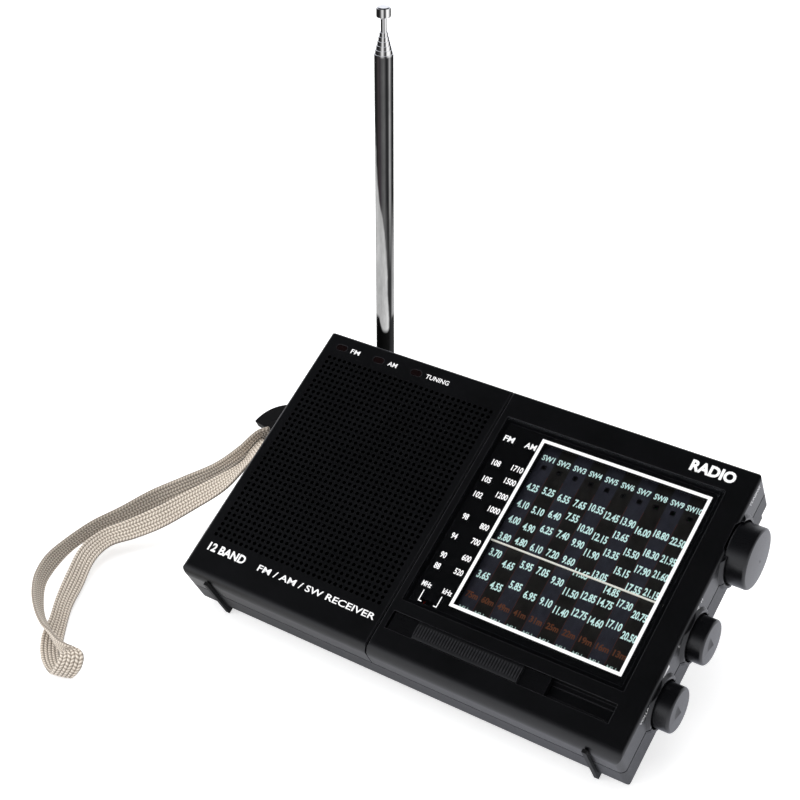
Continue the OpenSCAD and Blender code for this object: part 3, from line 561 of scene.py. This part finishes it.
# ---------------------------------------------------------------------------------------
# printed lettering, as thin closed solids in the radio frame
# ---------------------------------------------------------------------------------------
GAP = 0.004  # between a surface and the print on it
FACE = 20.5 + GAP
GLASS = 20.2 + GAP
PLATE = 17.1 + GAP
INDICATOR = 16.2 + GAP
WALL = 81.0 + GAP
THICK = 0.02
# where across, along and lift go: out of the face, or out of the right wall
FRONT, RIGHT_WALL = (0, 1, 2), (2, 0, 1)
LEFT, CENTRE, RIGHT = 0.0, 0.5, 1.0  # share of a text's width that lies before its x


@functools.lru_cache(None)
def glyphs(text, bold):
    """Points and faces of a text, at font size 1."""
    curve = bpy.data.curves.new("lettering", "FONT")
    curve.body = text
    curve.size = 1.0
    curve.resolution_u = 3
    curve.extrude = 0.01
    curve.offset = bold
    thing = link_object("lettering", curve)
    bpy.context.view_layer.update()
    depsgraph = bpy.context.evaluated_depsgraph_get()
    mesh = bpy.data.meshes.new_from_object(thing.evaluated_get(depsgraph))
    bm = bmesh.new()
    bm.from_mesh(mesh)
    bmesh.ops.remove_doubles(bm, verts=bm.verts, dist=1e-5)
    bm.verts.index_update()
    points = np.array([tuple(vert.co) for vert in bm.verts], float).reshape(-1, 3)
    faces = [[vert.index for vert in face.verts] for face in bm.faces]
    bm.free()
    bpy.data.objects.remove(thing)
    bpy.data.curves.remove(curve)
    bpy.data.meshes.remove(mesh)
    return points, faces


class Print:
    """Gathers lettering and marks of one colour."""

    def __init__(self):
        self.points, self.faces, self.count = [], [], 0

    def add(self, across, along, lift, faces, plane):
        self.points.append(np.column_stack([across, along, lift])[:, plane])
        self.faces += [[i + self.count for i in face] for face in faces]
        self.count += len(across)

    def text(self, text, x, y, height, z, width=None, bold=0.0, align=CENTRE, plane=FRONT):
        """Text with capitals of the given height, centred on y."""
        points, faces = glyphs(text, bold)
        capitals = glyphs("H0", bold)[0][:, 1]
        top, low = capitals.max(), capitals.min()
        scale = height / (top - low)
        across = (points[:, 0] - points[:, 0].min()) * scale
        if width:
            across *= width / across.max()
        across = across + x - across.max() * align
        along = (points[:, 1] - (top + low) / 2) * scale + y
        self.add(across, along, np.where(points[:, 2] > 0, z + THICK, z), faces, plane)

    def outline(self, points, z, thick=THICK, plane=FRONT):
        """A flat closed shape, from its counter-clockwise outline."""
        n = len(points)
        across, along = np.array(points * 2, float).T
        faces = [list(range(n))[::-1], list(range(n, 2 * n))]
        faces += [[i, (i + 1) % n, (i + 1) % n + n, i + n] for i in range(n)]
        self.add(across, along, np.repeat([z, z + thick], n), faces, plane)

    def bar(self, left, right, bottom, top, z, thick=THICK):
        corners = [(left, bottom), (right, bottom), (right, top), (left, top)]
        self.outline(corners, z, thick)

    def make(self, name, finish, slot, body="case"):
        mesh = bpy.data.meshes.new(name)
        mesh.from_pydata(np.concatenate(self.points).tolist(), [], self.faces)
        mesh.transform(RADIO_TO_ROW)
        mesh.validate()
        mesh.update()
        mesh.materials.append(finish)
        thing = link_object(name, mesh)
        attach(thing, body)


# text, x, y, capital height, width, bold, align
FACE_TEXTS = (
    ("FM", -68.2, 45.3, 1.75, 3.6, 0.012, CENTRE),
    ("AM", -52.7, 45.3, 1.75, 3.6, 0.012, CENTRE),
    ("TUNING", -34.4, 45.3, 1.75, 9.2, 0.012, CENTRE),
    ("12 BAND", -76.2, -39.0, 3.1, 15.2, 0.03, LEFT),
    ("FM / AM / SW RECEIVER", -9.4, -39.3, 2.25, 46.0, 0.012, RIGHT),
    ("RADIO", 66.5, 45.7, 4.1, 15.0, 0.045, CENTRE),
)
# text, y, z, capital height, width
WALL_TEXTS = (
    ("TUNING", 43.4, 18.3, 1.5, 7.4),
    ("TONE", 0.6, 18.6, 1.4, 5.2),
    ("H", 5.2, 18.9, 1.3, None),
    ("L", -10.6, 18.9, 1.3, None),
    ("VOLUME", -33.4, 18.4, 1.45, 7.4),
)
VOLUME_WEDGE = [(-21.8, 18.9), (-17.4, 18.1), (-17.4, 19.7)]  # y, z


def case_lettering():
    white = Print()
    for text, x, y, height, width, bold, align in FACE_TEXTS:
        white.text(text, x, y, height, FACE, width, bold, align)
    for text, y, z, height, width in WALL_TEXTS:
        white.text(text, y, z, height, WALL, width, bold=0.012, plane=RIGHT_WALL)
    white.outline(VOLUME_WEDGE, WALL, plane=RIGHT_WALL)
    white.make("case_lettering", ink_white, "shell_plastic")


# outer sides of the white border, and its width
BORDER_LEFT, BORDER_RIGHT, BORDER_BOTTOM, BORDER_TOP = 10.5, 70.0, -26.5, 37.5
BORDER = 1.1


def window_border():
    left, right, bottom, top = BORDER_LEFT, BORDER_RIGHT, BORDER_BOTTOM, BORDER_TOP
    white = Print()
    white.bar(left, right, top - BORDER, top, GLASS)
    white.bar(left, right, bottom, bottom + BORDER, GLASS)
    white.bar(left, left + BORDER, bottom + BORDER, top - BORDER, GLASS)
    white.bar(right - BORDER, right, bottom + BORDER, top - BORDER, GLASS)
    white.make("window_border", ink_white, "window_plastic")


def window_mask():
    """Black on the inside of the window, round the border, with a clear slot low on the left."""
    under_glass = 19.37
    overlap = 0.4  # reach of the mask under the border
    left, right, bottom, top = -2.85, 71.15, -28.85, 39.35
    slot_left, slot_right, slot_top = 1.0, 6.6, -27.2
    inner_left, inner_right = BORDER_LEFT + overlap, BORDER_RIGHT - overlap
    inner_bottom, inner_top = BORDER_BOTTOM + overlap, BORDER_TOP - overlap
    mask = Print()
    for sides in ((left, inner_left, slot_top, top),
                  (inner_right, right, bottom, top),
                  (inner_left, inner_right, inner_top, top),
                  (inner_left, inner_right, bottom, inner_bottom),
                  (left, slot_left, bottom, slot_top),
                  (slot_right, inner_left, bottom, slot_top)):
        mask.bar(*sides, under_glass)
    mask.make("window_mask", plate_black, "scale_print")


# x of the column, then each number and its y
WINDOW_COLUMNS = (
    (0.3, (("108", 24), ("105", 17.5), ("102", 11.5), ("98", 3), ("94", -4.5), ("90", -11.7),
           ("88", -15.8))),
    (7.9, (("1710", 24.4), ("1500", 19.4), ("1200", 13.8), ("1000", 8.4), ("800", 1.9),
           ("700", -3.8), ("600", -10), ("520", -15.2))),
)


def window_lettering():
    white = Print()
    white.text("FM", 0.0, 33.5, 2.2, GLASS, width=3.7, bold=0.02)
    white.text("AM", 8.0, 33.5, 2.2, GLASS, width=4.0, bold=0.02)
    for x, numbers in WINDOW_COLUMNS:
        for text, y in numbers:
            white.text(text, x, y, 2.15, GLASS, width=0.98 * len(text) + 0.1, bold=0.02)
    white.text("MHz", 0.4, -22.7, 1.9, GLASS, width=3.4, bold=0.02)
    white.text("kHz", 8.0, -22.7, 1.9, GLASS, width=3.3, bold=0.02)
    # a pair of brackets below, with feet turned towards each other
    middle, half, line, foot = 3.8, 3.45, 0.32, 1.3
    bottom, top = -28.7, -24.7
    for side in (-1, 1):
        outer, inner, toe = (middle + side * (half - inset) for inset in (0, line, foot))
        white.bar(*sorted((outer, inner)), bottom, top, GLASS)
        white.bar(*sorted((inner, toe)), bottom, bottom + line, GLASS)
    white.make("window_lettering", ink_white, "window_plastic")


# short-wave bands: metres, then each frequency in MHz and its y before SCALE_SHIFT
BANDS = (
    ("75m", (("4.25", 20), ("4.10", 13.4), ("4.00", 7.4), ("3.80", 0.8), ("3.70", -5.3),
             ("3.65", -13.6))),
    ("60m", (("5.25", 20.4), ("5.10", 13), ("4.90", 6.6), ("4.80", 1.2), ("4.65", -7.5),
             ("4.55", -15.5))),
    ("49m", (("6.55", 20), ("6.40", 13.6), ("6.25", 8), ("6.10", 1), ("5.95", -5.6),
             ("5.85", -13))),
    ("41m", (("7.65", 20), ("7.55", 15), ("7.40", 8.3), ("7.20", 1.2), ("7.05", -5.5),
             ("6.95", -14.3))),
    ("31m", (("10.55", 20.5), ("10.20", 12.8), ("9.90", 7.4), ("9.60", 1), ("9.30", -6.6),
             ("9.10", -14.3))),
    ("25m", (("12.45", 19.7), ("12.15", 11.7), ("11.90", 5.7), ("11.65", -1.5),
             ("11.50", -8.6), ("11.40", -15.3))),
    ("22m", (("13.90", 19.8), ("13.65", 14.6), ("13.35", 8), ("13.05", 0), ("12.85", -7.7),
             ("12.75", -13.8))),
    ("19m", (("16.00", 18.5), ("15.50", 10.5), ("15.15", 3.7), ("14.85", -3.3),
             ("14.75", -7.7), ("14.60", -14.3))),
    ("16m", (("18.80", 19.6), ("18.30", 12.5), ("17.90", 6.5), ("17.55", 0), ("17.30", -5.8),
             ("17.10", -13))),
    ("13m", (("22.50", 19.2), ("21.95", 12.6), ("21.60", 7), ("21.15", 0.5), ("20.75", -7.5),
             ("20.50", -14.8))),
)
BAND_PITCH, FIRST_BAND = 5.7, 14.27
SCALE_SHIFT = 1.55
TINT_BOTTOM, TINT_TOP = -29.0, 39.0
HOLE_BOTTOM, HOLE_TOP, HOLE_HALF = 28.5, 30.2, 0.85  # indicator hole in each column
LINE_HALF = 0.07


def band_scale():
    mint, green, brown, lines, blue_tint, brown_tint = (Print() for _ in range(6))
    ink_z = PLATE + 0.012
    for i, (metres, rows) in enumerate(BANDS):
        x = FIRST_BAND + BAND_PITCH * i
        left, right = x - BAND_PITCH / 2, x + BAND_PITCH / 2
        # the tinted column leaves the indicator hole clear
        for sides in ((left, right, TINT_BOTTOM, HOLE_BOTTOM),
                      (left, right, HOLE_TOP, TINT_TOP),
                      (left, x - HOLE_HALF, HOLE_BOTTOM, HOLE_TOP),
                      (x + HOLE_HALF, right, HOLE_BOTTOM, HOLE_TOP)):
            (blue_tint, brown_tint)[i % 2].bar(*sides, PLATE - 0.003, thick=0.012)
        if i:
            lines.bar(left - LINE_HALF, left + LINE_HALF, -27.5, 26.5, PLATE + 0.010,
                      thick=0.01)
        mint.text(f"SW{i + 1}", x, 31.3 + SCALE_SHIFT, 2.1, ink_z,
                  width=4.4 if i < 9 else 5.2, bold=0.025)
        for text, y in rows:
            mint.text(text, x, y + SCALE_SHIFT, 2.7, ink_z,
                      width=4.1 if len(text) == 4 else 4.85, bold=0.03)
        brown.text(metres, x, -21.0 + SCALE_SHIFT, 2.2, ink_z, width=4.2, bold=0.03)
        green.text("MHz", x, -26.2 + SCALE_SHIFT, 1.9, ink_z, width=4.2, bold=0.02)
    for part, name, finish in ((mint, "scale_numbers", ink_mint),
                               (green, "scale_units", ink_green),
                               (brown, "scale_bands", ink_brown),
                               (lines, "scale_lines", ink_line),
                               (blue_tint, "scale_tint_blue", tint_blue),
                               (brown_tint, "scale_tint_brown", tint_brown)):
        part.make(name, finish, "scale_print")


def indicator_mark():
    """Red dot on the indicator strip."""
    x, y, radius, segments = 0.97, -27.45, 0.62, 28
    angles = [2 * math.pi * i / segments for i in range(segments)]
    dot = Print()
    dot.outline([(x + radius * math.cos(a), y + radius * math.sin(a)) for a in angles],
                INDICATOR)
    dot.make("indicator_marks", ink_red, "indicator_red", body="band_slide")


case_lettering()
window_border()
window_mask()
window_lettering()
band_scale()
indicator_mark()

# ---------------------------------------------------------------------------------------
# woven wrist strap: one ribbed band, out of the sleeve, round its fold on the table and back
# ---------------------------------------------------------------------------------------
# the two edges of the band at each station, in row millimetres
STATIONS = (
    # upper run
    ((-86.9, 49.4, 36.6), (-87.6, 52.2, 31.0)),
    ((-89.6, 46.5, 36.4), (-90.2, 51.4, 29.1)), ((-95.6, 42.4, 29.5), (-94.7, 47.8, 21.2)),
    ((-105.4, 40.2, 20.2), (-105.0, 44.2, 11.4)), ((-116.3, 35.2, 13.2), (-115.6, 38.0, 4.0)),
    ((-125.6, 27.8, 7.9), (-125.0, 30.4, -1.2)), ((-130.3, 15.9, 5.4), (-130.6, 19.3, -2.9)),
    ((-134.5, 6.2, 3.6), (-135.3, 10.5, -4.1)), ((-135.9, -6.2, 2.5), (-136.9, -1.3, -4.8)),
    ((-134.8, -16.4, 2.5), (-135.0, -12.0, -5.2)), ((-130.7, -25.8, 2.5), (-131.4, -21.3, -5.3)),
    ((-124.7, -33.4, 2.5), (-126.0, -28.2, -5.2)), ((-117.4, -39.7, 2.6), (-119.3, -34.6, -5.1)),
    # fold
    ((-109.4, -44.7, 3.0), (-112.9, -38.9, -4.6)), ((-103.6, -46.7, 3.6), (-107.2, -42.6, -3.4)),
    ((-97.9, -49.0, 4.4), (-101.7, -46.0, -2.4)), ((-92.5, -50.0, 4.9), (-96.6, -48.8, -0.4)),
    ((-88.6, -49.3, 4.9), (-94.4, -50.9, 2.0)), ((-86.2, -49.6, 4.4), (-93.2, -52.3, 2.9)),
    ((-85.0, -50.6, 3.0), (-92.4, -53.6, 2.5)), ((-84.9, -52.0, 0.6), (-92.8, -55.0, 0.6)),
    ((-86.2, -53.0, -2.0), (-94.2, -55.7, -2.0)), ((-88.2, -53.0, -4.2), (-96.2, -55.2, -4.3)),
    ((-90.9, -51.9, -5.5), (-98.6, -54.0, -5.4)), ((-94.0, -50.2, -5.7), (-101.4, -52.6, -5.5)),
    ((-97.6, -47.7, -5.7), (-104.8, -50.2, -5.5)), ((-101.2, -44.6, -5.7), (-108.6, -46.6, -5.4)),
    # lower run
    ((-104.4, -40.8, -5.6), (-112.2, -42.2, -5.1)), ((-108.3, -34.9, -5.0), (-116.5, -34.4, -4.9)),
    ((-112.9, -27.3, -4.0), (-121.5, -25.9, -3.9)), ((-117.9, -16.9, -4.0), (-126.1, -15.6, -1.6)),
    ((-121.9, -6.3, -1.4), (-130.4, -3.4, 0.4)), ((-122.4, 2.5, -0.4), (-130.0, 6.7, 0.9)),
    ((-117.1, 9.9, 0.7), (-124.2, 14.2, 3.4)), ((-110.9, 17.1, 3.4), (-117.4, 22.7, 6.8)),
    ((-103.6, 26.6, 8.6), (-110.2, 32.4, 11.2)), ((-95.2, 33.8, 16.0), (-101.8, 39.7, 16.9)),
    ((-89.2, 38.2, 24.8), (-95.0, 44.1, 22.4)), ((-85.4, 41.6, 30.9), (-91.4, 46.4, 28.6)),
    ((-84.0, 44.9, 33.8), (-89.6, 48.8, 31.4)),
)
CORDS = 6  # rounded ribs across the band
POINTS_PER_CORD = 8
BRAID_PITCH = 1.15  # of the crossings along a cord
STRAP_STEP = 0.45
HALF_WIDTHS = (4.1, 5.0)  # least and most


def unit(vectors):
    return vectors / np.linalg.norm(vectors, axis=1)[:, None]


def spline(knots, values, at):
    """Cubic curve through values at the knots, read at the given distances."""
    last = len(knots) - 1
    before = np.maximum(np.arange(last + 1) - 1, 0)
    after = np.minimum(np.arange(last + 1) + 1, last)
    slopes = (values[after] - values[before]) / (knots[after] - knots[before])[:, None]
    i = np.clip(np.searchsorted(knots, at) - 1, 0, last - 1)
    span = (knots[i + 1] - knots[i])[:, None]
    t = (at - knots[i])[:, None] / span
    t2, t3 = t * t, t * t * t
    return ((2 * t3 - 3 * t2 + 1) * values[i] + (t3 - 2 * t2 + t) * span * slopes[i]
            + (-2 * t3 + 3 * t2) * values[i + 1] + (t3 - t2) * span * slopes[i + 1])


def strap_geometry():
    """Points, faces and UVs (distance along, cords across) of the band."""
    edges = np.array(STATIONS, float)
    middles = (edges[:, 0] + edges[:, 1]) / 2
    halves = (edges[:, 1] - edges[:, 0]) / 2
    lengths = np.linalg.norm(np.diff(middles, axis=0), axis=1)
    knots = np.concatenate([[0], np.cumsum(lengths)])
    rows = int(knots[-1] / STRAP_STEP)
    along = np.linspace(0, knots[-1], rows)
    centre = spline(knots, middles, along)
    sideways = spline(knots, halves, along)
    width = np.clip(np.linalg.norm(sideways, axis=1), *HALF_WIDTHS)
    sideways = unit(sideways)
    normal = unit(np.cross(unit(np.gradient(centre, axis=0)), sideways))
    for _ in range(2):
        for field in (normal, sideways):
            field[1:-1] = (field[:-2] + 2 * field[1:-1] + field[2:]) / 4
    normal, sideways = unit(normal), unit(sideways)

    columns = CORDS * POINTS_PER_CORD + 1
    across = np.linspace(-1, 1, columns)
    cord_place = (across + 1) / 2 * CORDS
    rib = np.abs(np.sin((across + 1) / 2 * math.pi * CORDS)) ** 0.6
    thinning = 0.35 + 0.65 * np.clip((1 - np.abs(across)) / 0.05, 0, 1) ** 0.5
    odd = np.clip(cord_place.astype(int), 0, CORDS - 1) % 2
    cup = 0.25 * across * across
    points, uvs = [], []
    for side in (1, -1):
        for i in range(rows):
            phase = along[i] / BRAID_PITCH + 0.5 * odd + np.where(odd, 1, -1) * cord_place * 0.55
            braid = np.abs(np.sin(math.pi * phase))
            thick = (0.20 + 0.34 * rib + 0.09 * rib * braid) * thinning
            points.append(centre[i] + sideways[i] * (across * width[i])[:, None]
                          + normal[i] * (side * thick + cup)[:, None])
            uvs.append(np.stack([np.full(columns, along[i]), cord_place], 1))
    points = np.concatenate(points)
    points[:, 2] = np.maximum(points[:, 2], TABLE + 0.05)

    faces = []
    under = rows * columns  # first point of the second side
    for i in range(rows - 1):
        for j in range(columns - 1):
            a = i * columns + j
            faces.append((a, a + 1, a + columns + 1, a + columns))
            faces.append((under + a, under + a + columns, under + a + columns + 1,
                          under + a + 1))
        for j in (0, columns - 1):
            a = i * columns + j
            face = (a, a + columns, under + a + columns, under + a)
            faces.append(face[::-1] if j else face)
    for i in (0, rows - 1):
        for j in range(columns - 1):
            a = i * columns + j
            face = (a, under + a, under + a + 1, a + 1)
            faces.append(face[::-1] if i else face)
    return points, faces, np.concatenate(uvs)


def webbing():
    """Braided cords: a painted highlight on the crossings, painted shade in the gaps between
    cords, a little sheen.
    """
    tree = material("webbing_beige")
    along, across, _ = tree.split(tree.add("UVMap", {}, uv_map="band"))
    cord = across.math("FRACT")
    odd = across.math("FLOOR").math("MODULO", 2.0)
    shaded_gap = abs(cord - 0.5).remap(0.30, 0.5)
    sign = odd * 2.0 - 1.0
    slant = cord * 0.62 * sign
    phase = along / BRAID_PITCH + (slant + odd * 0.5)
    crossing = abs((phase * math.pi).math("SINE"))
    fibre = tree.noise(tree.join(phase * 5.0, across * 9.0, 0.0),
                       scale=2.2, detail=4, rough=0.7)
    cloud = tree.noise(tree.place(tilted=False), scale=0.09, detail=3)
    base = tree.mix(cloud.remap(0.3, 0.7), (0.34, 0.275, 0.21), (0.46, 0.385, 0.30))
    # painted highlight on the raised crossings of the braid
    crossing_highlight = tree.mix(crossing ** 1.6, (0.15, 0.115, 0.085), (0.98, 0.90, 0.80))
    color = tree.mix(0.66, base, crossing_highlight)
    # painted shade in the gaps between cords
    color = tree.mix(shaded_gap * 0.82, color, (0.085, 0.062, 0.044))
    color = tree.mix(fibre.remap(0.35, 0.7) * 0.22, color, (0.75, 0.68, 0.58))
    height = crossing * 0.6 + fibre * 0.4 - shaded_gap * 0.8
    return tree.surface(color, 0.78, tree.bump(height, distance=0.12, strength=0.7), spec=0.25,
                        extra={"Sheen Weight": 0.3, "Sheen Roughness": 0.5})


def wrist_strap():
    points, faces, uvs = strap_geometry()
    mesh = bpy.data.meshes.new("wrist_webbing")
    mesh.from_pydata(points.tolist(), [], faces)
    layer = mesh.uv_layers.new(name="band")
    corners = np.zeros(len(mesh.loops), int)
    mesh.loops.foreach_get("vertex_index", corners)
    layer.data.foreach_set("uv", uvs[corners].astype(np.float32).ravel())
    mesh.transform(Matrix.Scale(MM, 4))
    mesh.materials.append(webbing())
    mesh.shade_smooth()
    mesh.update()
    bm = bmesh.new()
    bm.from_mesh(mesh)
    bmesh.ops.recalc_face_normals(bm, faces=bm.faces)
    bm.to_mesh(mesh)
    bm.free()
    strap = link_object("wrist_webbing", mesh)
    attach(strap, "strap")
    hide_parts("wrist_strap")


wrist_strap()


# ---------------------------------------------------------------------------------------
# floor, light and camera
# ---------------------------------------------------------------------------------------
def floor_paper():
    """White paper, evenly lifted by emission towards the camera; in mirrored rays it gets painted
    light, more to the right.
    """
    tree = material("floor_paper")
    position = tree.add("NewGeometry", {}, "Position")
    camera_ray, glossy_ray = tree.add("LightPath", {}, ("Is Camera Ray", "Is Glossy Ray"))
    x = tree.split(position)[0]
    place = tree.add("Mapping", {"Vector": position, "Scale": (1000, 1000, 1000)})
    fine = tree.noise(place, scale=1.2, detail=3)
    color = tree.mix(fine, (0.80, 0.80, 0.80), (0.84, 0.84, 0.84))
    relief = tree.bump(fine, distance=0.01, strength=0.2)
    paper = tree.principled(color, 0.9, relief, spec=0.0)
    # emission: an even whitening for camera rays, and for glossy rays a painted reflection that
    # grows to the right, tinted a little blue
    power = camera_ray * 0.58 + glossy_ray * x.remap(-0.10, 0.10, low=0.02, high=0.42)
    tone = tree.mix(glossy_ray, (1, 1, 1), (0.90, 0.94, 1.14))
    lift = tree.add("Emission", {"Color": tone, "Strength": power})
    return tree.finish(tree.add("AddShader", {0: paper, 1: lift}))


def floor():
    half, count = 3.0, 24  # metres, points along a side
    grid = np.linspace(-half, half, count)
    points = [(x, y, TABLE * MM) for y in grid for x in grid]
    starts = [j * count + i for j in range(count - 1) for i in range(count - 1)]
    mesh = bpy.data.meshes.new("floor")
    mesh.from_pydata(points, [], [(a, a + 1, a + count + 1, a + count) for a in starts])
    mesh.materials.append(floor_paper())
    mesh.validate()
    mesh.update()
    link_object("floor", mesh)


# colours of the sky by the upward part of the ray's direction
SOFT_SKY = [(0.0, (0.95, 0.95, 0.96)), (0.5, (0.75, 0.75, 0.76)), (1.0, (0.45, 0.45, 0.46))]
MIRRORED_SKY = [(0.0, (1.1, 1.12, 1.18)), (0.30, (1.1, 1.12, 1.18)), (0.48, (0.50, 0.51, 0.56)),
                (0.66, (0.055, 0.056, 0.062)), (0.8, (0.014, 0.014, 0.016)),
                (1.0, (0.012, 0.012, 0.014))]


def studio_world():
    world = bpy.data.worlds.new("studio")
    scene.world = world
    tree = Tree(world, "OutputWorld")
    up = tree.split(tree.add("TexCoord", {}, "Generated"))[2]
    soft = up.ramp(SOFT_SKY)
    mirrored = up.ramp(MIRRORED_SKY)
    color = tree.mix(tree.add("LightPath", {}, "Is Glossy Ray"), soft, mirrored)
    tree.finish(tree.add("Background", {0: color, 1: 1.0}))


# name, location, target, size, watts; in metres
LIGHTS = (
    ("key", (-0.25, -0.1, 1.3), (0, 0.03, 0), (1.5, 1.5), 12.0),
    ("fill", (-0.5, -1.0, 0.7), (0, 0.03, 0.03), (0.8, 0.6), 3.0),
    ("strap_fill", (-0.42, -0.30, 0.10), (-0.118, 0.02, 0.006), (0.18, 0.12), 0.55),
)


def lights():
    for name, location, target, size, watts in LIGHTS:
        light = bpy.data.lights.new(name, "AREA")
        light.shape = "RECTANGLE"
        light.size, light.size_y = size
        light.energy = watts
        lamp = link_object(name, light)
        lamp.location = location
        aim = Vector(target) - Vector(location)
        lamp.rotation_euler = aim.to_track_quat("-Z", "Y").to_euler()
        lamp.visible_glossy = False


def row_direction(x, y, z):
    """A direction of the radio frame, in the row frame."""
    return Vector((x, y * COS - z * SIN, y * SIN + z * COS))


def camera():
    lens_data = bpy.data.cameras.new("camera")
    lens_data.lens = 74.01
    lens_data.sensor_width = 36.0
    lens_data.clip_start = 0.01
    thing = link_object("camera", lens_data)
    forward = row_direction(-0.47826, 0.36484, -0.79885).normalized()
    right = forward.cross(row_direction(-0.28896, 0.79361, 0.53543)).normalized()
    up = right.cross(forward)
    pose = Matrix((right, up, -forward)).transposed().to_4x4()
    pose.translation = Vector((0.22227, -0.32783, 0.34135))
    thing.matrix_world = pose
    scene.camera = thing


scene = bpy.context.scene
floor()
studio_world()
lights()
camera()
scene.view_settings.view_transform = "Standard"
